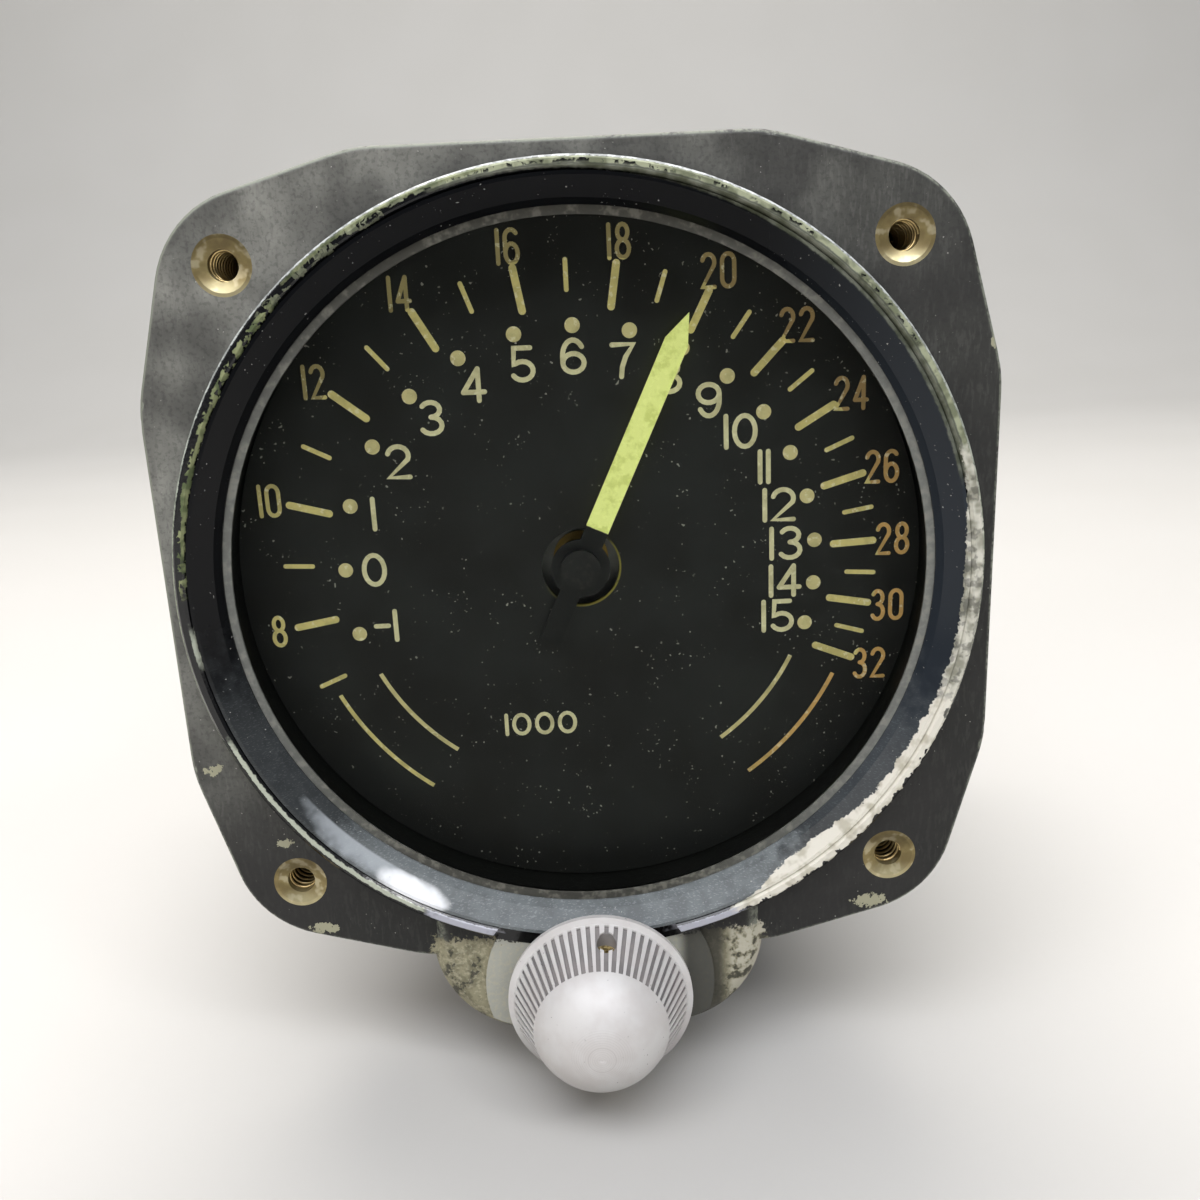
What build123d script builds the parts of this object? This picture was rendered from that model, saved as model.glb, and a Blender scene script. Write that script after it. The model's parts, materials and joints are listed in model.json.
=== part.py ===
from build123d import *
import os
from math import acos, asin, atan2, ceil, cos, degrees, pi, radians, sin, sqrt, tan

# Cabin altitude selector, a rear-mounted panel instrument.
# Frame: X to the right, Z up, Y into the panel, all in mm. The dial faces -Y.
# The origin is the centre of the four mounting screws, on the flange's front face.

# Lip that fills the round hole in the panel: the front's other sizes are set off from it
lip_radius = 39.4
lip_height = 2.4
lip_land = 1.3
lip_edge_round = 0.35

# Flange and its mounting screws
screw_offset = 5.056
flat_offset = 1.75
flat_half_length = 18.66
flat_end_radius = 15.0
ear_offset = 4.825
ear_radius = 10.5
flange_thickness = 4.8
flange_edge_round = 0.5
insert_radius = 2.8
insert_bore_radius = 1.45
insert_length = 10.5
insert_mouth_radius = 2.45
insert_mouth_depth = 0.45
insert_boss_radius = 5.0
insert_boss_length = 12.0

# Glass and the ring that holds it
bezel_recess = 0.12
bezel_clearance = 0.08
bezel_land = 0.35
bezel_edge_width = 0.55
bezel_edge_thickness = 0.25
bezel_slope = 0.62
window_setback = 2.7
bezel_back = 0.5
gasket_thickness = 0.3
gasket_overlap = 0.8
glass_thickness = 2.6
glass_clearance = 0.2
glass_seat_width = 2.2

# Case behind the flange
case_wall = 2.6
case_length = 76.0
rear_flange_thickness = 6.5
rear_flange_width = 5.3
cover_screw_count = 6
cover_screw_radius = 1.25
cover_thread_depth = 5.0

# Dial and pointer
dial_front = 6.75
dial_thickness = 1.0
dial_clearance = 0.2
dial_hole_radius = 4.1
dial_foot_radius = 2.0
dial_foot_length = 4.25
dial_foot_inset = 6.9
dial_foot_angles = (20.0, 160.0, 270.0)
dial_screw_radius = 1.0
dial_head_radius = 1.9
dial_head_height = 1.0
pointer_angle = 25.2
pointer_gap = 0.45
pointer_thickness = 0.4
pointer_width = 2.45
pointer_shoulder = 25.0
pointer_reach = 28.1
pointer_tail = 8.6
pointer_tail_width = 2.2
pointer_eye_width = 1.0
hub_radius = 2.1
hub_front_height = 0.7
hub_cap_thickness = 0.5
hub_back_reach = 0.5

# Scale travel: degrees each way from the pointer's rest angle, clockwise positive
travel_low = -131.7
travel_high = 83.7

# Mechanism plates
plate_thickness = 2.0
plate_clearance = 0.4
rear_plate_margin = 0.3
pillar_radius = 2.5
pillar_length = 7.8
pillar_inset = 8.9
pillar_angles = (0.0, 120.0, 240.0)
lug_angles = (45.0, 135.0, 225.0, 315.0)
lug_inset = 3.7
lug_radius = 3.6
lug_length = 6.0
small_screw_radius = 1.25
small_head_radius = 2.3
small_head_height = 1.2
small_thread_depth = 5.0
thread_spare = 0.5
slot_width = 0.6
slot_depth = 0.6

# Gears: knob pinion, idler and main gear
gear_module = 0.8
pressure_angle = 20.0
backlash = 0.14
main_teeth = 56
pinion_teeth = 16
gear_gap = 1.3
gear_width = 3.0
gear_hub_radius = 6.0
gear_hub_length = 2.2
gear_hub_front = 0.3
gear_hole_radius = 3.2
gear_hole_count = 6
gear_front_room = 1.0
gear_back_room = 0.5
stop_pin_radius = 1.5
stop_circle = 17.0
stop_margin = 0.6
stop_pin_gap = 0.3

# Spindle and lead screw
spindle_radius = 1.5
gear_seat_radius = 2.5
screw_radius = 3.0
running_clearance = 0.04
screw_length = 16.2
screw_end_bevel = 0.6
shoulder_play = 0.1
front_bush_radius = 3.0
rear_bush_radius = 5.0
bush_overhang = 0.6

# Knob and its shaft
knob_offset = 5.05
knob_back = -3.9
knob_skirt_radius = 9.78
knob_band_width = 0.58
knob_band_height = 0.8
knob_rim_radius = 6.85
knob_rim_y = -9.75
knob_dome_height = 4.35
flute_count = 58
flute_width = 0.46
flute_depth = 0.28
flute_overrun = 0.12
knob_hub_radius = 5.0
knob_hub_front_gap = 0.2
knob_band_bevel = 0.25
knob_edge_land = 1.2
knob_recess = 0.8
knob_recess_bevel = 0.4
shaft_radius = 3.0
shaft_reach = 1.5
set_screw_radius = 1.0
set_screw_length = 4.2
set_screw_angle = 6.5
set_screw_setback = 2.6
set_screw_socket = 0.95
set_screw_socket_depth = 1.2
collar_radius = 12.4
collar_height = 1.4
collar_inset = 1.8
tab_width = 36.2
tab_drop = 6.85
tab_corner = 11.0
tab_height = 0.8
tab_depth = 9.0
tab_edge_round = 2.6
lip_cut_radius = 12.0
lip_cut_shift = -1.3
bush_radius = 4.75
bush_flange_radius = 5.6
bush_flange_thickness = 1.2
bush_length = 14.7
seal_section = 0.5
seal_y = 6.0
washer_thickness = 0.8
housing_wall = 2.4
gear_clearance = 1.2
gear_cover_thickness = 2.0
gear_cover_head_radius = 1.9
idler_pin_radius = 2.0
idler_hub_radius = 4.0
idler_hub_length = 1.4
clip_thickness = 0.6
clip_radius = 3.6
clip_groove_depth = 0.5
clip_mouth = 1.6
clip_play = 0.2
idler_pin_end = 0.4
pinion_hub_inset = 0.04

# Crosshead, bellows and metering valve
screw_lead = 6.0
crosshead_gap = 8.7
crosshead_thickness = 4.0
crosshead_height = 11.0
crosshead_boss_radius = 6.6
screw_tail_gap = 2.1
crosshead_floor = 1.5
guide_spacing = 34.0
guide_radius = 2.0
guide_eye_radius = 5.5
guide_end_margin = 1.1
backlash_coil_radius = 6.4
backlash_wire = 0.7
backlash_turns = 5
bellows_radius = 12.0
bellows_root_radius = 8.6
bellows_folds = 7
bellows_pitch = 2.1
bellows_end = 1.2
poppet_flange_radius = 5.4
poppet_flange_thickness = 1.2
poppet_stem_radius = 1.6
poppet_head_radius = 3.4
poppet_head_land = 0.8
poppet_stem_length = 3.3
poppet_cone_length = 3.0
poppet_pilot_radius = 1.2
poppet_pilot_length = 2.5
poppet_lift = 0.7
seat_radius = 6.0
seat_bore_radius = 2.2
poppet_coil_radius = 4.75
poppet_wire = 0.5
poppet_turns = 4

# Rear cover and its ports
cover_gasket_thickness = 0.8
cover_thickness = 3.5
cover_head_radius = 2.6
cover_head_height = 2.2
cover_edge_bevel = 0.8
port_boss_radius = 8.0
port_boss_height = 11.7
port_boss_foot = 0.8
port_mouth_bevel = 0.5
port_thread_radius = 4.2
port_thread_depth = 10.5
port_spacing = 21.0
port_passage_radius = 3.0
screen_radius = 6.0
screen_thickness = 0.8
inner_boss_radius = 9.0
inner_boss_height = 3.0

# Sizes across the instrument that follow from the ones above
hole_spacing = round(sqrt(2) * (lip_radius + screw_offset), 2)
across_flats = 2 * (lip_radius + flat_offset)
knob_drop = lip_radius + knob_offset
tab_bottom = knob_drop + tab_drop
lip_bore_radius = lip_radius - lip_land
window_radius = lip_bore_radius - window_setback
cavity_radius = lip_bore_radius - glass_seat_width
case_radius = cavity_radius + case_wall
rear_flange_radius = cavity_radius + rear_flange_width
cover_screw_circle = (cavity_radius + rear_flange_radius) / 2
dial_radius = cavity_radius - dial_clearance
dial_foot_circle = cavity_radius - dial_foot_inset
front_plate_radius = cavity_radius - plate_clearance
pillar_circle = cavity_radius - pillar_inset
rear_plate_radius = pillar_circle + pillar_radius + rear_plate_margin
lug_circle = cavity_radius - lug_inset

# Places along Y that follow from them
lip_front = -lip_height
gasket_front = bezel_back
glass_front = gasket_front + gasket_thickness
glass_back = glass_front + glass_thickness
dial_back = dial_front + dial_thickness
front_plate_y = dial_back + dial_foot_length
front_plate_back = front_plate_y + plate_thickness
rear_plate_y = front_plate_back + pillar_length
rear_plate_back = rear_plate_y + plate_thickness
gear_y = front_plate_back + gear_gap
gear_back = gear_y + gear_width
housing_front = gear_y - gear_front_room
housing_back = gear_back + gear_hub_length + gear_back_room
crosshead_y = rear_plate_back + crosshead_gap
crosshead_back = crosshead_y + crosshead_thickness
travel_forward = screw_lead * travel_high / 360
travel_rearward = -screw_lead * travel_low / 360
guide_end = crosshead_back + travel_rearward + guide_end_margin
boss_end = rear_plate_back + screw_length + travel_forward + screw_tail_gap + crosshead_floor
bellows_length = 2 * bellows_end + bellows_folds * bellows_pitch
bellows_back = boss_end + bellows_length
cone_start = bellows_back + poppet_flange_thickness + poppet_stem_length
cone_slope = (poppet_head_radius - poppet_pilot_radius) / poppet_cone_length
seat_front = cone_start + (poppet_head_radius - seat_bore_radius) / cone_slope + poppet_lift
cover_front = case_length + cover_gasket_thickness
cover_back = cover_front + cover_thickness
port_mouth = cover_back + port_boss_height

# Gear centres: the idler's tooth count is the smallest that spans the knob's drop
pitch_radius_main = gear_module * main_teeth / 2
pitch_radius_pinion = gear_module * pinion_teeth / 2
idler_teeth = ceil((2 * knob_drop / gear_module - main_teeth - pinion_teeth) / 2)
pitch_radius_idler = gear_module * idler_teeth / 2
root_depth = 1.25 * gear_module
main_to_idler = pitch_radius_main + pitch_radius_idler
idler_to_pinion = pitch_radius_idler + pitch_radius_pinion
idler_swing = acos((main_to_idler**2 + knob_drop**2 - idler_to_pinion**2) / (2 * main_to_idler * knob_drop))
idler_x = -main_to_idler * sin(idler_swing)
idler_z = -main_to_idler * cos(idler_swing)
knob_z = -knob_drop


def face_on(y):
    """A plane across the instrument at y, with its own x along X and its own y along Z."""
    return Plane(origin=(0, y, 0), x_dir=(1, 0, 0), z_dir=(0, -1, 0))


def slab(outline, front, back):
    """A flat outline, drawn as seen from the front, as a solid from front to back."""
    return extrude(face_on(back) * outline, amount=back - front)


def rod(radius, front, back, x=0.0, z=0.0):
    return slab(Pos(x, z) * Circle(radius), front, back)


def ring(outer, inner, front, back, x=0.0, z=0.0):
    return rod(outer, front, back, x, z) - rod(inner, front, back, x, z)


def turned(*profile, x=0.0, z=0.0):
    """A turned piece: the profile's points are (radius, y), and its axis is along Y."""
    section = make_face(Polyline(*profile, close=True))
    return Pos(x, 0, z) * revolve(section, Axis.Y)


def clock(radius, angle):
    """The X and Z of a point at an angle clockwise from the top, seen from the front."""
    return radius * sin(radians(angle)), radius * cos(radians(angle))


def group(solids):
    """Separate like pieces that share one node."""
    return Compound(children=[s.solid() if len(s.solids()) == 1 else s for s in solids])


def slotted_screw(x, z, seat, length, shank, head, height, towards):
    """A screw along Y with a slotted head: towards is -1 for a head at the front, 1 at the back."""
    head_end = seat + towards * height
    shank_end = seat - towards * length
    screw = rod(head, min(seat, head_end), max(seat, head_end), x, z)
    screw += rod(shank, min(seat, shank_end), max(seat, shank_end), x, z)
    slot_floor = head_end - towards * slot_depth
    slot = Pos(x, z) * Rectangle(2.2 * head, slot_width)
    return screw - slab(slot, min(slot_floor, head_end), max(slot_floor, head_end))


def coil(mean_radius, wire, turns, front, back):
    """A helical spring of round wire between two faces, with its axis along Y."""
    height = back - front - wire
    path = Helix(pitch=height / turns, height=height, radius=mean_radius)
    section = Plane(origin=path @ 0, z_dir=path % 0) * RegularPolygon(wire / 2, 6)
    spring = sweep(section, path=path, is_frenet=True)
    return Pos(0, front + wire / 2, 0) * Rot(-90, 0, 0) * spring


# Gears


def involute(angle):
    return tan(angle) - angle


def gear_outline(teeth, phase):
    """A spur gear's outline: involute flanks, with a tooth centred on the phase angle (radians)."""
    pitch = gear_module * teeth / 2
    base = pitch * cos(radians(pressure_angle))
    root = pitch - root_depth
    tip = pitch + gear_module
    half_at_pitch = pi / (2 * teeth) - backlash / (4 * pitch)
    flank = []
    steps = 3
    for i in range(steps + 1):
        radius = max(base, root) + (tip - max(base, root)) * i / steps
        roll = involute(acos(min(1.0, base / radius)))
        flank.append((radius, half_at_pitch + involute(radians(pressure_angle)) - roll))
    if base > root:
        flank.insert(0, (root, flank[0][1]))
    points = []
    for tooth in range(teeth):
        centre = phase + 2 * pi * tooth / teeth
        points += [(r * cos(centre - a), r * sin(centre - a)) for r, a in flank]
        points += [(r * cos(centre + a), r * sin(centre + a)) for r, a in reversed(flank)]
    return make_face(Polyline(*points, close=True))


to_idler = atan2(idler_z, idler_x)
main_phase = to_idler
idler_phase = to_idler + pi + pi / idler_teeth
to_pinion = atan2(knob_z - idler_z, -idler_x)
idler_lead = (idler_phase - to_pinion) % (2 * pi / idler_teeth)
pinion_phase = to_pinion + pi + pi / pinion_teeth - idler_lead * idler_teeth / pinion_teeth


def main_gear():
    gear = slab(gear_outline(main_teeth, main_phase), gear_y, gear_back)
    gear += rod(gear_hub_radius, gear_y - gear_hub_front, gear_back + gear_hub_length)
    hole_circle = (gear_hub_radius + stop_circle + stop_pin_radius) / 2
    for index in range(gear_hole_count):
        x, z = clock(hole_circle, pointer_angle + 360 * (index + 0.5) / gear_hole_count)
        gear -= rod(gear_hole_radius, gear_y, gear_back, x, z)
    gear -= rod(gear_seat_radius, gear_y - 1, gear_back + gear_hub_length + 1)
    x, z = clock(stop_circle, pointer_angle)
    return gear - rod(stop_pin_radius, gear_y, gear_back, x, z)


def gear_stop_pin():
    x, z = clock(stop_circle, pointer_angle)
    return rod(stop_pin_radius, front_plate_back + stop_pin_gap, gear_back, x, z)


def stop_places():
    touch = 2 * degrees(asin(stop_pin_radius / stop_circle)) + stop_margin
    return [clock(stop_circle, pointer_angle + end) for end in (travel_low - touch, travel_high + touch)]


def stop_studs():
    """Two studs in the front plate that the gear's stop pin meets at the ends of the scale."""
    return group([rod(stop_pin_radius, front_plate_y, gear_y - stop_pin_gap, x, z) for x, z in stop_places()])


def idler_gear():
    gear = slab(gear_outline(idler_teeth, idler_phase), 0, gear_width)
    gear += rod(idler_hub_radius, gear_width, gear_width + idler_hub_length)
    gear -= rod(idler_pin_radius + running_clearance, -1, gear_width + idler_hub_length + 1)
    return Pos(idler_x, gear_y, idler_z) * gear


def idler_pin():
    groove = gear_back + idler_hub_length + clip_play
    pin = rod(idler_pin_radius, front_plate_y, groove + clip_thickness + idler_pin_end)
    pin += rod(idler_hub_radius, front_plate_back, gear_y - shoulder_play)
    pin -= ring(idler_pin_radius + 1, idler_pin_radius - clip_groove_depth, groove, groove + clip_thickness)
    return Pos(idler_x, 0, idler_z) * pin


def idler_clip():
    front = gear_back + idler_hub_length + clip_play
    clip = ring(clip_radius, idler_pin_radius - clip_groove_depth, front, front + clip_thickness)
    gap = Pos(0, -clip_radius) * Rectangle(clip_mouth, 2 * clip_radius)
    return Pos(idler_x, 0, idler_z) * (clip - slab(gap, front, front + clip_thickness))


def knob_pinion():
    pinion = slab(gear_outline(pinion_teeth, pinion_phase), gear_y, gear_back)
    pinion += rod(pitch_radius_pinion - root_depth - pinion_hub_inset, gear_back, gear_back + idler_hub_length)
    pinion -= rod(shaft_radius, gear_y - 1, gear_back + idler_hub_length + 1)
    return Pos(0, 0, knob_z) * pinion


# Case casting


def flange_outline():
    """Four flats and four ears round the screws, joined by straight tapers, with every corner rounded."""
    corner = hole_spacing / 2 + ear_offset
    edge = across_flats / 2
    quarter = [(edge, -flat_half_length), (edge, flat_half_length), (corner, corner)]
    points = [(cos(turn) * x - sin(turn) * z, sin(turn) * x + cos(turn) * z)
              for turn in (0, pi / 2, pi, 3 * pi / 2) for x, z in quarter]
    outline = make_face(Polyline(*points, close=True))
    ears = outline.vertices().filter_by(lambda v: abs(abs(v.X) - abs(v.Y)) < 0.01)
    outline = fillet(ears, ear_radius)
    ends = outline.vertices().filter_by(lambda v: abs(max(abs(v.X), abs(v.Y)) - edge) < 0.01)
    return fillet(ends, flat_end_radius)


def housing_outline(knob_radius, idler_radius):
    """The outline round the knob's axis and the idler's, with straight sides between them."""
    reach = idler_to_pinion
    along = atan2(knob_z - idler_z, -idler_x)
    lean = asin((idler_radius - knob_radius) / reach)
    sides = []
    for side in (1, -1):
        angle = along + side * (pi / 2 - lean)
        sides.append((idler_x + idler_radius * cos(angle), idler_z + idler_radius * sin(angle)))
        sides.append((knob_radius * cos(angle), knob_z + knob_radius * sin(angle)))
    web = make_face(Polyline(sides[0], sides[1], sides[3], sides[2], close=True))
    return web + Pos(idler_x, idler_z) * Circle(idler_radius) + Pos(0, knob_z) * Circle(knob_radius)


pinion_room = pitch_radius_pinion + gear_module + gear_clearance
idler_room = pitch_radius_idler + gear_module + gear_clearance
housing_knob_radius = max(collar_radius, pinion_room + housing_wall)
housing_idler_radius = idler_room + housing_wall


def tab_outline(inset):
    """The tab's rounded outline, or one that lies inside it by an inset."""
    top, bottom = -cavity_radius / 2, inset - tab_bottom
    rounded = RectangleRounded(tab_width - 2 * inset, top - bottom, tab_corner - inset)
    return Pos(0, (top + bottom) / 2) * rounded


def tab_body():
    """The tab under the dial, with a raised collar round the knob's shaft."""
    tab = slab(tab_outline(0), -tab_height, tab_depth)
    front_edges = tab.faces().sort_by(Axis.Y)[0].edges()
    tab = fillet(front_edges, min(tab_edge_round, 0.45 * (tab_height + tab_depth)))
    collar = rod(collar_radius, -collar_height, tab_depth, 0, knob_z)
    return tab + (collar & slab(tab_outline(collar_inset), -collar_height, tab_depth))


def lip_body():
    round_in = lip_edge_round
    return turned(
        (lip_radius, flange_thickness / 2),
        (lip_radius, lip_front + round_in),
        (lip_radius - round_in, lip_front),
        (lip_bore_radius + round_in, lip_front),
        (lip_bore_radius, lip_front + round_in),
        (lip_bore_radius, flange_thickness / 2),
    )


def case():
    flange = slab(flange_outline(), 0, flange_thickness)
    flange = fillet(flange.faces().sort_by(Axis.Y)[0].edges(), flange_edge_round)
    lip = lip_body() - rod(lip_cut_radius, lip_front - 1, -collar_height, lip_cut_shift, knob_z)
    body = flange + rod(case_radius, flange_thickness, case_length)
    body += rod(rear_flange_radius, case_length - rear_flange_thickness, case_length)
    half = hole_spacing / 2
    corners = [(sx * half, sz * half) for sx in (-1, 1) for sz in (-1, 1)]
    for x, z in corners:
        body += rod(insert_boss_radius, flange_thickness, insert_boss_length, x, z)
    body += tab_body()
    body += slab(housing_outline(housing_knob_radius, housing_idler_radius), tab_depth, housing_back)
    body -= rod(lip_bore_radius, lip_front - 1, glass_back)
    body -= rod(cavity_radius, glass_back, case_length)
    body += lip
    for angle in lug_angles:
        x, z = clock(lug_circle, angle)
        lug = rod(lug_radius, front_plate_back, front_plate_back + lug_length, x, z)
        web = Rot(0, angle, 0) * Pos(0, 0, (lug_circle + case_radius) / 2) * slab(
            Rectangle(2 * lug_radius, case_radius - lug_circle), front_plate_back, front_plate_back + lug_length
        )
        body += (lug + web) & rod(case_radius, front_plate_back, front_plate_back + lug_length)
        body -= rod(small_screw_radius, front_plate_back, front_plate_back + lug_length, x, z)
    for x, z in corners:
        body -= rod(insert_radius, -1, insert_length, x, z)
    body -= rod(bush_radius, -collar_height - 1, housing_front, 0, knob_z)
    body -= slab(housing_outline(pinion_room, idler_room), housing_front, housing_back)
    for index in range(cover_screw_count):
        x, z = clock(cover_screw_circle, 360 * index / cover_screw_count)
        body -= rod(cover_screw_radius, case_length - cover_thread_depth, case_length, x, z)
    for x, z in gear_cover_holes():
        body -= rod(small_screw_radius, housing_back - small_thread_depth, housing_back, x, z)
    return body


def gear_cover_holes():
    """Screw places round the gear housing's rear, in its wall."""
    circle = (pinion_room + housing_knob_radius) / 2
    return [(circle * cos(radians(a)), knob_z + circle * sin(radians(a))) for a in (-15, -90, 195)]


def gear_cover():
    outline = housing_outline(housing_knob_radius, housing_idler_radius) - Circle(case_radius + 0.1)
    cover = slab(outline, housing_back, housing_back + gear_cover_thickness)
    for x, z in gear_cover_holes():
        cover -= rod(small_screw_radius, housing_back, housing_back + gear_cover_thickness, x, z)
    return cover


def gear_cover_screws():
    seat = housing_back + gear_cover_thickness
    length = gear_cover_thickness + small_thread_depth - thread_spare
    return group([
        slotted_screw(x, z, seat, length, small_screw_radius, gear_cover_head_radius, small_head_height, 1)
        for x, z in gear_cover_holes()
    ])


def mount_inserts():
    half = hole_spacing / 2
    return group([
        turned(
            (insert_radius, 0.0),
            (insert_radius, insert_length),
            (insert_bore_radius, insert_length),
            (insert_bore_radius, insert_mouth_depth),
            (insert_mouth_radius, 0.0),
            x=sx * half, z=sz * half,
        )
        for sx in (-1, 1) for sz in (-1, 1)
    ])


# Front of the instrument


def bezel_ring():
    outer = lip_bore_radius - bezel_clearance
    front = lip_front + bezel_recess
    return turned(
        (outer, front),
        (outer - bezel_land, front),
        (window_radius + bezel_edge_width, front + bezel_slope * (bezel_back - front)),
        (window_radius, bezel_back - bezel_edge_thickness),
        (window_radius, bezel_back),
        (outer, bezel_back),
    )


def glass_gasket():
    return ring(lip_bore_radius - glass_clearance, window_radius - gasket_overlap, gasket_front, glass_front)


def cover_glass():
    return rod(lip_bore_radius - glass_clearance, glass_front, glass_back)


def dial_plate():
    dial = ring(dial_radius, dial_hole_radius, dial_front, dial_back)
    for angle in dial_foot_angles:
        x, z = clock(dial_foot_circle, angle)
        dial += rod(dial_foot_radius, dial_back, front_plate_y, x, z)
        dial -= rod(dial_screw_radius, dial_back, front_plate_y, x, z)
    return dial


def dial_screws():
    screws = []
    for angle in dial_foot_angles:
        x, z = clock(dial_foot_circle, angle)
        length = plate_thickness + dial_foot_length - thread_spare
        screws.append(slotted_screw(
            x, z, front_plate_back, length, dial_screw_radius, dial_head_radius, dial_head_height, 1,
        ))
    return group(screws)


def pointer():
    """Blade and tail in one strip, drawn straight up and then turned to the rest angle."""
    half = pointer_width / 2
    tail = pointer_tail_width / 2
    outline = make_face(Polyline(
        (-tail, -pointer_tail), (tail, -pointer_tail), (tail, 0), (half, 0),
        (half, pointer_shoulder), (0, pointer_reach), (-half, pointer_shoulder), (-half, 0), (-tail, 0),
        close=True,
    ))
    outline += Circle(hub_radius + pointer_eye_width)
    outline -= Circle(hub_radius)
    front = dial_front - pointer_gap - pointer_thickness
    return Rot(0, pointer_angle, 0) * slab(outline, front, front + pointer_thickness)


def pointer_hub():
    front = dial_front - pointer_gap - pointer_thickness - hub_front_height
    hub = ring(hub_radius, spindle_radius, front, dial_back + hub_back_reach)
    return hub + rod(spindle_radius, front, front + hub_cap_thickness)


# Mechanism


def spindle():
    hub_front = dial_front - pointer_gap - pointer_thickness - hub_front_height + hub_cap_thickness
    shoulder = front_plate_back + bush_overhang + shoulder_play
    seat_end = gear_back + gear_hub_length
    return turned(
        (0, hub_front),
        (spindle_radius, hub_front),
        (spindle_radius, shoulder),
        (gear_seat_radius, shoulder),
        (gear_seat_radius, seat_end),
        (screw_radius, seat_end),
        (screw_radius, rear_plate_back + screw_length - screw_end_bevel),
        (screw_radius - screw_end_bevel, rear_plate_back + screw_length),
        (0, rear_plate_back + screw_length),
    )


def spindle_bushes():
    front = ring(
        front_bush_radius, spindle_radius + running_clearance,
        front_plate_y - bush_overhang, front_plate_back + bush_overhang,
    )
    rear = ring(
        rear_bush_radius, screw_radius + running_clearance,
        rear_plate_y - bush_overhang, rear_plate_back + bush_overhang,
    )
    return group([front, rear])


def front_plate():
    plate = rod(front_plate_radius, front_plate_y, front_plate_back)
    plate -= rod(front_bush_radius, front_plate_y, front_plate_back)
    plate -= rod(idler_pin_radius, front_plate_y, front_plate_back, idler_x, idler_z)
    holes = [(dial_screw_radius, dial_foot_circle, a) for a in dial_foot_angles]
    holes += [(small_screw_radius, lug_circle, a) for a in lug_angles]
    holes += [(pillar_radius - 1, pillar_circle, a) for a in pillar_angles]
    places = [(radius, *clock(circle, angle)) for radius, circle, angle in holes]
    places += [(stop_pin_radius, x, z) for x, z in stop_places()]
    for radius, x, z in places:
        plate -= rod(radius, front_plate_y, front_plate_back, x, z)
    return plate


def rear_plate():
    plate = rod(rear_plate_radius, rear_plate_y, rear_plate_back)
    plate -= rod(rear_bush_radius, rear_plate_y, rear_plate_back)
    for angle in pillar_angles:
        x, z = clock(pillar_circle, angle)
        plate -= rod(small_screw_radius, rear_plate_y, rear_plate_back, x, z)
    for side in (-1, 1):
        plate -= rod(guide_radius, rear_plate_y, rear_plate_back, side * guide_spacing / 2, 0)
    return plate


def pillars():
    """Three pillars: a spigot riveted in the front plate, and a tapped rear end."""
    parts = []
    for angle in pillar_angles:
        x, z = clock(pillar_circle, angle)
        pillar = rod(pillar_radius, front_plate_back, rear_plate_y, x, z)
        pillar += rod(pillar_radius - 1, front_plate_y, front_plate_back, x, z)
        parts.append(pillar - rod(small_screw_radius, rear_plate_y - small_thread_depth, rear_plate_y, x, z))
    return group(parts)


def pillar_screws():
    screws = []
    for angle in pillar_angles:
        x, z = clock(pillar_circle, angle)
        screws.append(slotted_screw(
            x, z, rear_plate_back, plate_thickness + small_thread_depth - thread_spare, small_screw_radius,
            small_head_radius, small_head_height, 1,
        ))
    return group(screws)


def plate_screws():
    screws = []
    for angle in lug_angles:
        x, z = clock(lug_circle, angle)
        screws.append(slotted_screw(
            x, z, front_plate_y, plate_thickness + lug_length - thread_spare, small_screw_radius,
            small_head_radius, small_head_height, -1,
        ))
    return group(screws)


def guide_rods():
    rods = [
        rod(guide_radius, rear_plate_y, guide_end, side * guide_spacing / 2, 0)
        for side in (-1, 1)
    ]
    return group(rods)


def crosshead():
    """The lead screw's nut: two eyes slide on the guide rods, and a boss carries the bellows."""
    bar = slab(Rectangle(guide_spacing, crosshead_height), crosshead_y, crosshead_back)
    for side in (-1, 1):
        bar += rod(guide_eye_radius, crosshead_y, crosshead_back, side * guide_spacing / 2, 0)
    bar += rod(crosshead_boss_radius, crosshead_y, boss_end)
    bar -= rod(screw_radius + running_clearance, crosshead_y, boss_end - crosshead_floor)
    for side in (-1, 1):
        eye = guide_radius + running_clearance
        bar -= rod(eye, crosshead_y, crosshead_back, side * guide_spacing / 2, 0)
    return bar


def backlash_spring():
    return coil(backlash_coil_radius, backlash_wire, backlash_turns, rear_plate_back, crosshead_y)


def bellows():
    """An evacuated metal capsule: even folds between two flat ends."""
    profile = [(0, boss_end), (bellows_root_radius, boss_end)]
    y = boss_end + bellows_end
    for fold in range(bellows_folds):
        profile.append((bellows_root_radius, y))
        profile.append((bellows_radius, y + 0.35 * bellows_pitch))
        profile.append((bellows_radius, y + 0.65 * bellows_pitch))
        y += bellows_pitch
    profile += [(bellows_root_radius, y), (bellows_root_radius, bellows_back), (0, bellows_back)]
    return turned(*profile)


def valve_poppet():
    flange_back = bellows_back + poppet_flange_thickness
    cone_end = cone_start + poppet_cone_length
    return turned(
        (0, bellows_back),
        (poppet_flange_radius, bellows_back),
        (poppet_flange_radius, flange_back),
        (poppet_stem_radius, flange_back),
        (poppet_stem_radius, cone_start - poppet_head_land),
        (poppet_head_radius, cone_start - poppet_head_land),
        (poppet_head_radius, cone_start),
        (poppet_pilot_radius, cone_end),
        (poppet_pilot_radius, cone_end + poppet_pilot_length),
        (0, cone_end + poppet_pilot_length),
    )


def valve_seat():
    return ring(seat_radius, seat_bore_radius, seat_front, cover_back)


def poppet_spring():
    front = bellows_back + poppet_flange_thickness
    return coil(poppet_coil_radius, poppet_wire, poppet_turns, front, seat_front)


# Knob and shaft


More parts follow.
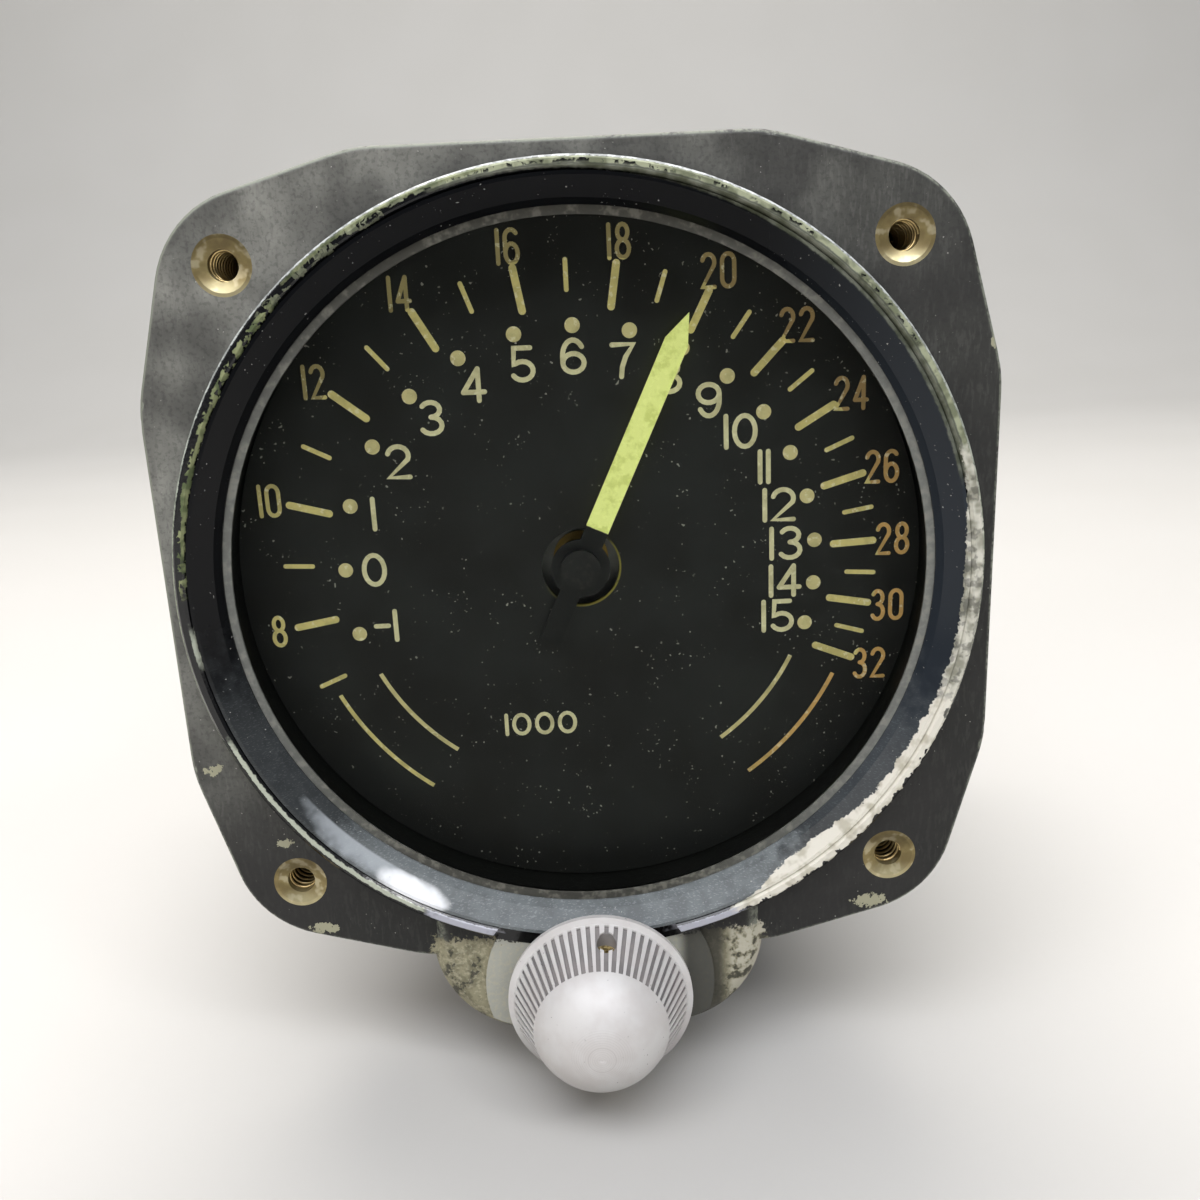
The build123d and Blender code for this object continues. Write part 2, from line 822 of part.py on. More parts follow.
def cone_radius(y):
    """The skirt's radius at y, between its edge band and its rim."""
    band_y = knob_back - knob_band_height
    share = (y - band_y) / (knob_rim_y - band_y)
    return knob_skirt_radius - knob_band_width + share * (knob_rim_radius - knob_skirt_radius + knob_band_width)


def knob_blank():
    """The knob's turned form: edge band, conical skirt and spherical dome."""
    band_y = knob_back - knob_band_height
    apex = knob_rim_y - knob_dome_height
    ball = (knob_rim_radius**2 + knob_dome_height**2) / (2 * knob_dome_height)
    half = asin(knob_rim_radius / ball) / 2
    on_dome = (ball * sin(half), apex + ball * (1 - cos(half)))
    hub_back = -collar_height - bush_flange_thickness - knob_hub_front_gap
    profile = [
        Line((0, apex + knob_dome_height), (0, apex)),
        ThreePointArc((0, apex), on_dome, (knob_rim_radius, knob_rim_y)),
        Polyline(
            (knob_rim_radius, knob_rim_y),
            (cone_radius(band_y), band_y),
            (knob_skirt_radius, band_y + knob_band_bevel),
            (knob_skirt_radius, knob_back),
            (knob_skirt_radius - knob_edge_land, knob_back),
            (knob_skirt_radius - knob_edge_land - knob_recess_bevel, knob_back - knob_recess),
            (knob_hub_radius, knob_back - knob_recess),
            (knob_hub_radius, hub_back),
            (0, hub_back),
            (0, apex + knob_dome_height),
        ),
    ]
    return revolve(make_face(profile), Axis.Y)


def flute_cutter():
    """One groove's cutter, along the skirt's slope at the top of the knob."""
    start = knob_back - knob_band_height - flute_overrun
    end = knob_rim_y + flute_overrun
    over = 1.0
    section = Polyline(
        (start, cone_radius(start) + over), (start, cone_radius(start) - flute_depth),
        (end, cone_radius(end) - flute_depth), (end, cone_radius(end) + over),
        close=True,
    )
    return extrude(Plane.YZ * make_face(section), amount=flute_width / 2, both=True)


set_screw_y = knob_back - set_screw_setback


def set_screw_tool(radius, start, end):
    """A cylinder along the set screw's axis, from one distance off the shaft's axis to another."""
    tool = Pos(0, set_screw_y, start) * extrude(Circle(radius), amount=end - start)
    return Rot(0, set_screw_angle, 0) * tool


def knob():
    body = knob_blank()
    cutter = flute_cutter()
    grooves = [Rot(0, 360 * i / flute_count, 0) * cutter for i in range(flute_count)]
    body = body - grooves
    body -= rod(shaft_radius, knob_rim_y - shaft_reach, 0)
    body -= set_screw_tool(set_screw_radius, shaft_radius - 0.5, knob_skirt_radius + 1)
    return Pos(0, 0, knob_z) * body


def knob_set_screw():
    screw = set_screw_tool(set_screw_radius, shaft_radius, shaft_radius + set_screw_length)
    end = shaft_radius + set_screw_length
    hexagon = RegularPolygon(set_screw_socket / sqrt(3), 6)
    socket = Pos(0, set_screw_y, end - set_screw_socket_depth) * extrude(hexagon, amount=set_screw_socket_depth)
    return Pos(0, 0, knob_z) * (screw - Rot(0, set_screw_angle, 0) * socket)


def knob_shaft():
    return rod(shaft_radius, knob_rim_y - shaft_reach, gear_back + idler_hub_length, 0, knob_z)


def shaft_bush():
    """Flanged bearing with an inner groove for the seal."""
    front = -collar_height - bush_flange_thickness
    back = -collar_height + bush_length
    bore = shaft_radius + running_clearance
    groove = bore + 2 * seal_section
    return turned(
        (bore, front), (bush_flange_radius, front), (bush_flange_radius, -collar_height),
        (bush_radius, -collar_height), (bush_radius, back), (bore, back),
        (bore, seal_y + seal_section), (groove, seal_y + seal_section),
        (groove, seal_y - seal_section), (bore, seal_y - seal_section),
        z=knob_z,
    )


def shaft_seal():
    centre = shaft_radius + running_clearance + seal_section
    return Pos(0, seal_y, knob_z) * Rot(90, 0, 0) * Torus(centre, seal_section)


def shaft_washer():
    back = gear_y - shoulder_play
    return ring(bush_radius, shaft_radius + running_clearance, back - washer_thickness, back, 0, knob_z)


# Rear cover


def cover_places():
    return [clock(cover_screw_circle, 360 * i / cover_screw_count) for i in range(cover_screw_count)]


def cover_gasket():
    gasket = ring(rear_flange_radius, cavity_radius, case_length, cover_front)
    for x, z in cover_places():
        gasket -= rod(cover_screw_radius, case_length, cover_front, x, z)
    return gasket


def rear_cover():
    cover = turned(
        (0, cover_front), (rear_flange_radius, cover_front),
        (rear_flange_radius, cover_back - cover_edge_bevel),
        (rear_flange_radius - cover_edge_bevel, cover_back), (0, cover_back),
    )
    cover += rod(inner_boss_radius, cover_front - inner_boss_height, cover_front)
    for z in (0, port_spacing):
        cover += turned(
            (0, cover_back), (port_boss_radius + port_boss_foot, cover_back),
            (port_boss_radius, cover_back + port_boss_foot), (port_boss_radius, port_mouth - port_mouth_bevel),
            (port_boss_radius - port_mouth_bevel, port_mouth), (0, port_mouth), z=z,
        )
        cover -= rod(port_thread_radius, port_mouth - port_thread_depth, port_mouth, 0, z)
    cover -= rod(seat_radius, cover_front - inner_boss_height, cover_back)
    cover -= rod(seat_bore_radius, cover_back, port_mouth - port_thread_depth)
    cover -= rod(port_passage_radius, cover_front, port_mouth - port_thread_depth, 0, port_spacing)
    cover -= rod(screen_radius, cover_front, cover_front + screen_thickness, 0, port_spacing)
    for x, z in cover_places():
        cover -= rod(cover_screw_radius, cover_front, cover_back, x, z)
    return cover


def port_screen():
    return rod(screen_radius, cover_front, cover_front + screen_thickness, 0, port_spacing)


def cover_screws():
    length = cover_thickness + cover_gasket_thickness + cover_thread_depth - thread_spare
    return group([
        slotted_screw(x, z, cover_back, length, cover_screw_radius, cover_head_radius, cover_head_height, 1)
        for x, z in cover_places()
    ])


PIECES = [
    case, mount_inserts, bezel_ring, glass_gasket, cover_glass, dial_plate, dial_screws, pointer, pointer_hub,
    spindle, main_gear, gear_stop_pin, stop_studs, spindle_bushes, front_plate, rear_plate, pillars,
    pillar_screws, plate_screws, idler_pin, idler_gear, idler_clip, knob, knob_set_screw, knob_shaft,
    knob_pinion, shaft_bush, shaft_seal, shaft_washer, gear_cover, gear_cover_screws, guide_rods, crosshead,
    backlash_spring, bellows, valve_poppet, valve_seat, poppet_spring, rear_cover, cover_gasket,
    cover_screws, port_screen,
]

os.makedirs("parts", exist_ok=True)
for piece in PIECES:
    export_step(piece(), os.path.join("parts", piece.__name__ + ".step"))
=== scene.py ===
import json
import math

import bmesh
import bpy
from bpy.props import FloatProperty, FloatVectorProperty, PointerProperty
from mathutils import Matrix, Vector


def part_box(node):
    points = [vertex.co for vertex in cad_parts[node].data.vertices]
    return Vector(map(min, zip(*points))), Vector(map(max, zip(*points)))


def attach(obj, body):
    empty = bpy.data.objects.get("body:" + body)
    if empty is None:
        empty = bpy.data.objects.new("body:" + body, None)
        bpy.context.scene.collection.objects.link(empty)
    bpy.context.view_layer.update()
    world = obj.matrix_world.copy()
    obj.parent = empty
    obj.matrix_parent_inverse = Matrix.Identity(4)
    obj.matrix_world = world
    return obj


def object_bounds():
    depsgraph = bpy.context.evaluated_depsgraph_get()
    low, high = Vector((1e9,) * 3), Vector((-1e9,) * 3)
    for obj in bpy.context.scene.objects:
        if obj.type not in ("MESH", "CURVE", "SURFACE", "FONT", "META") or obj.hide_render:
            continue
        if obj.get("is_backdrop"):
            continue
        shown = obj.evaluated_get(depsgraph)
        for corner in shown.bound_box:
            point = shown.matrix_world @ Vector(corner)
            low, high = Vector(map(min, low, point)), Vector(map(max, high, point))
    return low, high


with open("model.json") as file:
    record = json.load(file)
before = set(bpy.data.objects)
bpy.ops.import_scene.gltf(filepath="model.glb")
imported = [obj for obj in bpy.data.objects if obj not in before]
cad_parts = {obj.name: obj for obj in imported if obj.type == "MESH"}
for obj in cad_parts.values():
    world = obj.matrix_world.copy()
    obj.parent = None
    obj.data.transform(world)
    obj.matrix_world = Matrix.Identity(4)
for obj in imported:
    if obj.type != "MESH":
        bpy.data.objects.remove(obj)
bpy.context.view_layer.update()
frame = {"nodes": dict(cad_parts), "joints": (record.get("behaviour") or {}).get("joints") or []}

bl_info = {
    "name": "Cabin altitude selector",
    "version": (1, 0, 0),
    "blender": (4, 5, 0),
    "location": "3D View > Sidebar > Instrument",
    "description": "Finishes, dial figures, threads and stage for a round-dial panel instrument",
    "category": "Object",
}

MM = 0.001
NODES = frame["nodes"]
DIAL_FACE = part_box("dial_plate")[0].y
KNOB_Z = next(joint["pos_m"][2] for joint in frame["joints"] if joint["name"] == "knob_turn")
INSERT_RADIUS = 2.8 * MM
INSERT_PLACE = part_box("mount_inserts")[1].x - INSERT_RADIUS
PORT_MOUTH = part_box("rear_cover")[1].y
PORT_RISE = 21.0 * MM
POINTER_ANGLE = math.radians(25.2)


# Small helpers for meshes and colours


def linear(code):
    """A colour given as six hex digits, as a linear colour for a shader."""
    parts = [int(code[i:i + 2], 16) / 255 for i in (0, 2, 4)]
    return tuple(p / 12.92 if p <= 0.04045 else ((p + 0.055) / 1.055) ** 2.4 for p in parts) + (1.0,)


def clock(radius, angle):
    """X and Z of a point at an angle in radians clockwise from the top, seen from the front."""
    return radius * math.sin(angle), radius * math.cos(angle)


def new_piece(name, mesh, material, body):
    """An object at the origin that shows a mesh and rides on a body."""
    piece = bpy.data.objects.new(name, mesh)
    bpy.context.scene.collection.objects.link(piece)
    mesh.materials.clear()
    mesh.materials.append(material)
    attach(piece, body)
    return piece


def mesh_from(name, bm, smooth_under=40):
    """A finished mesh from bmesh data, smooth across edges flatter than the given angle."""
    bmesh.ops.recalc_face_normals(bm, faces=bm.faces)
    mesh = bpy.data.meshes.new(name)
    bm.to_mesh(mesh)
    bm.free()
    mesh.shade_smooth()
    mesh.set_sharp_from_angle(angle=math.radians(smooth_under))
    return mesh


def finish_node(node, material):
    """Gives a CAD node's own object a finish."""
    slots = NODES[node].material_slots
    if not slots:
        raise RuntimeError(f"{node} has no material slot")
    for slot in slots:
        slot.material = material


# Node trees: one class makes nodes, another wraps a socket so that maths reads as maths


class Number:
    """A value that varies over a surface or along an index: arithmetic on it adds Math nodes."""

    def __init__(self, wiring, socket):
        self.wiring = wiring
        self.socket = socket

    def math(self, operation, *values, first=None):
        return self.wiring.math(operation, self if first is None else first, *values)

    def __add__(self, other):
        return self.math("ADD", other)

    def __sub__(self, other):
        return self.math("SUBTRACT", other)

    def __rsub__(self, other):
        return self.math("SUBTRACT", self, first=other)

    def __mul__(self, other):
        return self.math("MULTIPLY", other)

    def __truediv__(self, other):
        return self.math("DIVIDE", other)

    def __pow__(self, other):
        return self.math("POWER", other)

    def __neg__(self):
        return self.math("MULTIPLY", -1.0)

    def __abs__(self):
        return self.math("ABSOLUTE")

    __radd__ = __add__
    __rmul__ = __mul__

    def root(self):
        return self.math("SQRT")

    def least(self, other):
        return self.math("MINIMUM", other)

    def most(self, other):
        return self.math("MAXIMUM", other)

    def above(self, edge, soft):
        """0 below the edge and 1 above it, with a smooth change of the given width."""
        return self.wiring.ramp(self, edge - soft / 2, edge + soft / 2)

    def below(self, edge, soft):
        return 1.0 - self.above(edge, soft)

    def within(self, low, high, soft):
        return self.above(low, soft) * self.below(high, soft)


class Wiring:
    """A node tree being built."""

    def __init__(self, tree):
        self.tree = tree

    def node(self, kind, settings=None, values=None):
        made = self.tree.nodes.new(kind)
        for name, setting in (settings or {}).items():
            setattr(made, name, setting)
        for socket, value in (values or {}).items():
            self.feed(made.inputs[socket], value)
        return made

    def feed(self, socket, value):
        """Sets an input to a value or links it. A text value is a colour in hex digits."""
        if isinstance(value, Number):
            value = value.socket
        elif isinstance(value, str):
            value = linear(value)
        if isinstance(value, bpy.types.NodeSocket):
            self.tree.links.new(value, socket)
        else:
            socket.default_value = value

    def math(self, operation, *values):
        made = self.node("ShaderNodeMath", {"operation": operation}, dict(enumerate(values)))
        return Number(self, made.outputs[0])

    def ramp(self, value, low, high):
        made = self.node(
            "ShaderNodeMapRange", {"interpolation_type": "SMOOTHSTEP"},
            {"Value": value, "From Min": low, "From Max": high},
        )
        return Number(self, made.outputs["Result"])


class Finish(Wiring):
    """A material on Object coordinates, in millimetres."""

    def __init__(self, name):
        self.material = bpy.data.materials.new(name)
        self.material.use_nodes = True
        super().__init__(self.material.node_tree)
        self.tree.nodes.clear()
        place = self.node("ShaderNodeTexCoord").outputs["Object"]
        scaled = self.node("ShaderNodeVectorMath", {"operation": "SCALE"}, {0: place, "Scale": 1 / MM})
        self.place = scaled.outputs[0]
        parts = self.node("ShaderNodeSeparateXYZ", values={0: self.place}).outputs
        self.x, self.y, self.z = (Number(self, part) for part in parts)

    def distance(self, x=0.0, z=0.0):
        """Distance from an axis along Y, which is the dial's own unless a place is given."""
        dx, dz = self.x - x, self.z - z
        return (dx * dx + dz * dz).root()

    def clock_angle(self):
        """Angle about the dial's axis, clockwise from the top, in degrees."""
        return self.math("ARCTAN2", self.x, self.z) * (180 / math.pi)

    def facing(self):
        """1 where the surface faces the front, 0 where it is edge on and -1 at the back."""
        flat = self.node("ShaderNodeTexCoord").outputs["Normal"]
        return -Number(self, self.node("ShaderNodeSeparateXYZ", values={0: flat}).outputs[1])

    def noise(self, size, detail=3.0, rough=0.55, shift=(0, 0, 0), stretch=(1, 1, 1)):
        """Soft random patches of about the given size, from 0 to 1."""
        moved = self.node("ShaderNodeMapping", values={
            "Vector": self.place, "Location": shift, "Scale": stretch,
        })
        made = self.node("ShaderNodeTexNoise", values={
            "Vector": moved.outputs[0], "Scale": 1 / size, "Detail": detail, "Roughness": rough,
        })
        return Number(self, made.outputs["Fac"])

    def waver(self, value, size, detail=2.0):
        """Noise along one value, such as an angle."""
        values = {"W": value / size, "Scale": 1.0, "Detail": detail}
        made = self.node("ShaderNodeTexNoise", {"noise_dimensions": "1D"}, values)
        return Number(self, made.outputs["Fac"])

    def specks(self, size, spacing, shift=(0, 0, 0)):
        """Small irregular specks, in patches that are the given spacing apart."""
        dots = self.noise(size, 0, shift=shift).above(0.82, 0.06)
        return dots * self.noise(spacing, 0, shift=shift).above(0.55, 0.2)

    def mix(self, first, second, amount):
        """A colour between two others: 0 gives the first and 1 the second."""
        return self.node("ShaderNodeMix", {"data_type": "RGBA"}, {0: amount, 6: first, 7: second}).outputs[2]

    def layers(self, base, *coats):
        """A colour with coats over it, each a (colour, mask) pair."""
        colour = base
        for coat, mask in coats:
            colour = self.mix(colour, coat, mask)
        return colour

    def bump(self, height, distance):
        """Relief: distance is the real height, in millimetres, of a change of 1."""
        return self.node("ShaderNodeBump", values={"Height": height, "Distance": distance * MM}).outputs[0]

    def edge(self, radius):
        """How far the surface turns within a radius: 0 on flats and rising at edges."""
        bevel = self.node("ShaderNodeBevel", {"samples": 6}, {"Radius": radius * MM}).outputs[0]
        flat = self.node("ShaderNodeNewGeometry").outputs["Normal"]
        dot = self.node("ShaderNodeVectorMath", {"operation": "DOT_PRODUCT"}, {0: bevel, 1: flat})
        return 1.0 - Number(self, dot.outputs["Value"])

    def principled(self, **values):
        """A Principled shader: base_color sets Base Color, and so on."""
        named = {}
        for name, value in values.items():
            named[name.replace("_", " ").title().replace("Ior", "IOR")] = value
        return self.node("ShaderNodeBsdfPrincipled", values=named).outputs[0]

    def blend(self, first, second, amount):
        """One shader over another. Where the amount is 0 or 1 only one of them is worked out."""
        return self.node("ShaderNodeMixShader", values={0: amount, 1: first, 2: second}).outputs[0]

    def output(self, shader):
        self.node("ShaderNodeOutputMaterial", values={"Surface": shader})
        return self.material

    def surface(self, **values):
        """The Principled shader on the material's output."""
        return self.output(self.principled(**values))


class Recipe(Wiring):
    """A Geometry Nodes tree with named inputs, ending in Realize Instances and Set Material."""

    def __init__(self, name, inputs):
        super().__init__(bpy.data.node_groups.new(name, "GeometryNodeTree"))
        for label, (kind, value) in inputs.items():
            socket = self.tree.interface.new_socket(label, in_out="INPUT", socket_type=kind)
            if value is not None:
                socket.default_value = value
        self.tree.interface.new_socket("Geometry", in_out="OUTPUT", socket_type="NodeSocketGeometry")
        self.start = self.node("NodeGroupInput")

    def input(self, label):
        return Number(self, self.start.outputs[label])

    def make(self, kind, **values):
        """The first output of a node, with its inputs named by the keywords."""
        named = {name.replace("_", " ").title(): value for name, value in values.items()}
        return self.node(kind, values=named).outputs[0]

    def closed_slab(self, face, thickness):
        """A flat face given a thickness and a back, with the face pointing to the front, -Y."""
        walls = self.make("GeometryNodeExtrudeMesh", mesh=face, offset_scale=thickness)
        back = self.make("GeometryNodeFlipFaces", mesh=face)
        joint = self.node("GeometryNodeJoinGeometry")
        for part in (walls, back):
            self.tree.links.new(part, joint.inputs[0])
        whole = self.make("GeometryNodeMergeByDistance", geometry=joint.outputs[0], distance=1e-6)
        return self.make("GeometryNodeTransform", geometry=whole, rotation=(math.pi / 2, 0, 0))

    def end(self, geometry, material):
        """Turns instances into real geometry and gives it the material."""
        real = self.make("GeometryNodeRealizeInstances", geometry=geometry)
        painted = self.make("GeometryNodeSetMaterial", geometry=real, material=material)
        self.node("NodeGroupOutput", values={0: painted})


def from_recipe(name, recipe, settings):
    """Runs a recipe with its inputs set, and returns the result as a plain mesh."""
    holder = bpy.data.objects.new(name, bpy.data.meshes.new(name))
    bpy.context.scene.collection.objects.link(holder)
    modifier = holder.modifiers.new("recipe", "NODES")
    modifier.node_group = recipe.tree
    for item in recipe.tree.interface.items_tree:
        if item.in_out == "INPUT" and item.name in settings:
            modifier[item.identifier] = settings[item.name]
    graph = bpy.context.evaluated_depsgraph_get()
    mesh = bpy.data.meshes.new_from_object(holder.evaluated_get(graph))
    holder.modifiers.remove(modifier)
    bpy.data.objects.remove(holder)
    if not mesh.polygons:
        raise RuntimeError(f"{name} came out empty")
    mesh.name = name
    return mesh


# Sizes and colours that a user may change


def colour(name, code, description):
    return FloatVectorProperty(
        name=name, description=description, subtype="COLOR", size=4, min=0.0, max=1.0, default=linear(code)
    )


def length(name, millimetres, description):
    return FloatProperty(
        name=name, description=description, subtype="DISTANCE", unit="LENGTH", default=millimetres * MM
    )


def turn(name, degrees, description):
    return FloatProperty(name=name, description=description, subtype="ANGLE", default=math.radians(degrees))


class StageSettings(bpy.types.PropertyGroup):
    focal_length: FloatProperty(
        name="Focal length", description="For a 36 mm wide sensor", unit="CAMERA", default=32.02
    )
    across: length("Across", 1.69, "Camera's place along X")
    back: length("Back", -102.96, "Camera's place along Y")
    rise: length("Rise", 25.07, "Camera's place along Z")
    pitch: turn("Pitch", 14.68, "How far the camera looks down")
    yaw: turn("Yaw", -0.09, "How far the camera turns aside")
    roll: turn("Roll", -2.65, "How far the picture leans")
    floor_gap: length("Floor gap", 0.3, "Room between the floor and the lowest piece")
    floor_colour: colour("Floor", "c2c0bc", "Pale floor and backdrop")
    key_power: FloatProperty(
        name="Key light", description="Watts of the large light above", unit="POWER", default=5.2
    )
    fill_power: FloatProperty(
        name="Fill light", description="Watts of each smaller light", unit="POWER", default=0.6
    )
    sky: FloatProperty(name="Sky", description="How much brighter the sky is above", default=0.3)


class DialSettings(bpy.types.PropertyGroup):
    black: colour("Dial black", "262726", "Matt paint of the dial plate")
    cream: colour("Cream", "d9d1a6", "Figures on the left and the inner scale")
    amber: colour("Amber", "cf9f5f", "Outer figures on the right")
    relief: length("Relief", 0.03, "Thickness of the printed paint")
    dot: length("Dot", 1.54, "Diameter of the inner scale's dots")
    dot_circle: length("Dot circle", 24.71, "Radius of the ring of dots")
    tick_outer: length("Tick outer end", 31.2, "Radius of every tick's outer end")
    major_inner: length("Long tick inner end", 26.3, "Radius of the even ticks' inner end")
    minor_inner: length("Short tick inner end", 27.9, "Radius of the odd ticks' inner end")
    major_width: length("Long tick width", 0.76, "Width of the even ticks")
    minor_width: length("Short tick width", 0.47, "Width of the odd ticks")
    inner_height: length("Inner figure height", 3.15, "Height between the stroke centres")
    inner_half: length("Inner figure half width", 1.07, "Half the width between the stroke centres")
    inner_stroke: length("Inner figure stroke", 0.5, "Width of the stroke")
    inner_circle: length("Inner figure circle", 21.7, "Radius of the ring of inner figures")
    outer_height: length("Outer figure height", 3.1, "Height between the stroke centres")
    outer_half: length("Outer figure half width", 0.6, "Half the width between the stroke centres")
    outer_stroke: length("Outer figure stroke", 0.42, "Width of the stroke")
    outer_circle: length("Outer figure circle", 32.9, "Radius of the ring of outer figures")
    arc_width: length("Arc width", 0.44, "Width of the curved lines low on the dial")


class CaseSettings(bpy.types.PropertyGroup):
    paint: colour("Paint", "121310", "Worn satin paint of the casting")
    # The dust colour also paints light on the upper left of the flange.
    dust: colour("Dust", "96968e", "Dust and rubbed paint")
    primer: colour("Primer", "d9d5c8", "Pale coat where the black has chipped")
    # The stain colour also carries a painted highlight on the flange's edges.
    stain: colour("Stain", "84887a", "Green-gold stain on worn edges")
    khaki: colour("Khaki", "8f8a70", "Rubbed coat of the knob's boss")
    brass: colour("Brass", "8b7d54", "Screw inserts")
    ring: colour("Ring", "0b0c0e", "Gloss enamel of the ring round the glass")
    gasket: colour("Gasket", "4a4942", "Edge of the glass's seal")


class PointerSettings(bpy.types.PropertyGroup):
    lume: colour("Luminous coat", "e6ec90", "Coat of the pointer's blade")
    lume_start: length("Coat's inner end", 4.5, "Distance from the axis where the coat begins")


class KnobSettings(bpy.types.PropertyGroup):
    metal: colour("Metal", "d4d2d0", "Blasted aluminium")
    # The flute colour stands for grime and for painted shade in the flutes.
    dirt: colour("Dirt", "5f5c5b", "Dirt in the flutes")


# Stage, in metres

FLOOR_HALF_WIDTH = 1.6
FLOOR_FRONT, FLOOR_BACK = -1.6, 0.75
BACKDROP_BEND = 0.5
BACKDROP_HEIGHT = 2.2
BEND_STEPS = 16

# Each light: place, target, size, power setting, its share of that power, and tint
LIGHTS = {
    "key": ((-0.06, -0.36, 0.60), (0, 0, 0), (0.8, 0.32), "key_power", 1.0, "f6f8ff"),
    "top": ((-0.05, 0.28, 0.6), (0, 0.02, 0), (0.6, 0.3), "key_power", 0.6, "fff8ef"),
    "side": ((-0.5, -0.35, 0.3), (0, 0, 0), (0.3, 0.3), "fill_power", 1.0, "fff4e6"),
    "wash": ((0, 0.35, 1.3), (0, 1.2, 0.3), (1.6, 0.3), "key_power", 3.0, "ffffff"),
    "glint": ((0.33, -0.33, 0.42), (0, 0, 0), (0.11, 0.09), "fill_power", 1.0, "ffffff"),
}
SKY_TINT = "f2f4f8"
SKY_LEAST = 0.1
SKY_FROM, SKY_TO = -0.2, 0.9


class INSTRUMENT_OT_stage(bpy.types.Operator):
    """Floor, backdrop, lights and camera"""

    bl_idname = "instrument.stage"
    bl_label = "Stage"

    def execute(self, context):
        settings = context.scene.instrument_stage
        self.floor(settings)
        self.lights(context.scene, settings)
        self.sky(context.scene, settings)
        self.camera(context.scene, settings)
        return {"FINISHED"}

    def floor(self, settings):
        """A floor that curves up into a backdrop behind the object."""
        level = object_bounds()[0].z - settings.floor_gap
        section = [(FLOOR_FRONT, level), (FLOOR_BACK, level)]
        for step in range(1, BEND_STEPS + 1):
            angle = math.pi / 2 * step / BEND_STEPS
            out, up = BACKDROP_BEND * math.sin(angle), BACKDROP_BEND * (1 - math.cos(angle))
            section.append((FLOOR_BACK + out, level + up))
        section.append((FLOOR_BACK + BACKDROP_BEND, level + BACKDROP_HEIGHT))
        bm = bmesh.new()
        rows = [[bm.verts.new((side * FLOOR_HALF_WIDTH, y, z)) for side in (-1, 1)] for y, z in section]
        for low, high in zip(rows, rows[1:]):
            bm.faces.new((low[0], low[1], high[1], high[0]))
        mesh = bpy.data.meshes.new("floor")
        bm.to_mesh(mesh)
        bm.free()
        mesh.shade_smooth()
        floor = bpy.data.objects.new("floor", mesh)
        bpy.context.scene.collection.objects.link(floor)
        finish = Finish("floor")
        patches = finish.noise(70, 0).above(0.5, 0.6) * 0.15
        shade = finish.mix(settings.floor_colour, "b8b6b0", patches)
        mesh.materials.append(finish.surface(base_color=shade, roughness=0.85))
        floor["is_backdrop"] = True

    def lights(self, scene, settings):
        for name, (place, target, size, power, share, tint) in LIGHTS.items():
            data = bpy.data.lights.new(name, "AREA")
            data.shape = "RECTANGLE"
            data.size, data.size_y = size
            data.energy = getattr(settings, power) * share
            data.color = linear(tint)[:3]
            lamp = bpy.data.objects.new(name, data)
            turned = (Vector(target) - Vector(place)).to_track_quat("-Z", "Y").to_matrix().to_4x4()
            lamp.matrix_world = Matrix.Translation(place) @ turned
            scene.collection.objects.link(lamp)

    def sky(self, scene, settings):
        """Soft light from all round, stronger from above."""
        world = bpy.data.worlds.new("studio")
        world.use_nodes = True
        wiring = Wiring(world.node_tree)
        wiring.tree.nodes.clear()
        up = wiring.node("ShaderNodeTexCoord").outputs["Generated"]
        rise = Number(wiring, wiring.node("ShaderNodeSeparateXYZ", values={0: up}).outputs[2])
        strength = wiring.ramp(rise, SKY_FROM, SKY_TO) * settings.sky + SKY_LEAST
        background = wiring.node("ShaderNodeBackground", values={"Color": SKY_TINT, "Strength": strength})
        wiring.node("ShaderNodeOutputWorld", values={"Surface": background.outputs[0]})
        scene.world = world
        scene.view_settings.view_transform = "Standard"

    def camera(self, scene, settings):
        data = bpy.data.cameras.new("camera")
        data.sensor_width = 36.0
        data.lens = settings.focal_length
        data.clip_start = 0.005
        look = Matrix.Rotation(settings.roll, 3, "Z") @ Matrix.Rotation(settings.yaw, 3, "Y")
        look = look @ Matrix.Rotation(settings.pitch, 3, "X")
        facing = Matrix(((1, 0, 0), (0, 0, -1), (0, 1, 0)))
        turned = (look @ facing).transposed() @ Matrix.Diagonal((1, -1, -1))
        camera = bpy.data.objects.new("camera", data)
        place = Matrix.Translation((settings.across, settings.back, settings.rise))
        camera.matrix_world = place @ turned.to_4x4()
        scene.collection.objects.link(camera)
        scene.camera = camera


# Dial: scales, figures and paint

# Both scales follow the air pressure of a standard atmosphere, in psi at thousands of feet
SEA_LEVEL = 14.696
LAPSE = 0.0068756
LAPSE_POWER = 5.2559
DEGREES_PER_PSI = 30.45
SEA_ANGLE = -88.08
CABIN_LEAD = 4.16

INNER_ALTITUDES = range(-1, 16)
EVEN_ALTITUDES = range(8, 33, 2)
ODD_ALTITUDES = range(7, 32, 2)
MARK_CORNER_POINTS, NEARLY_HALF = 7, 0.4999
STROKE_STEP = 0.006 * MM
CAP_ANGLES = (30, 55, 78)
MITER_LIMIT = 1.35
INNER_SPACING = 0.85 * MM
OUTER_CORNER = OUTER_SPACING = 0.75 * MM
LEGEND_PLACE = (-5.2 * MM, -17.3 * MM)
LEGEND_STYLE = (0.85 * MM, 2.2 * MM, 1.1 * MM, 0.42 * MM, 0.8 * MM)
ARC_RADII = (24.6 * MM, 29.7 * MM)
ARC_START, ARC_SPAN, ARC_STEPS = 116, 28, 24
FIGURE_PAINTED_GLOW = 0.34

# Zones of the dial's paint, as radii in millimetres
HOLE_EDGE = (3.98, 4.28)
DOTS_FROM, TICKS_FROM, FIGURES_FROM = 23.8, 25.9, 31.35


def scale_angle(altitude, lead):
    """Angle on the dial, in degrees, of an altitude in thousands of feet."""
    pressure = SEA_LEVEL * (1 - LAPSE * altitude) ** LAPSE_POWER + lead
    return SEA_ANGLE + DEGREES_PER_PSI * (SEA_LEVEL - pressure)


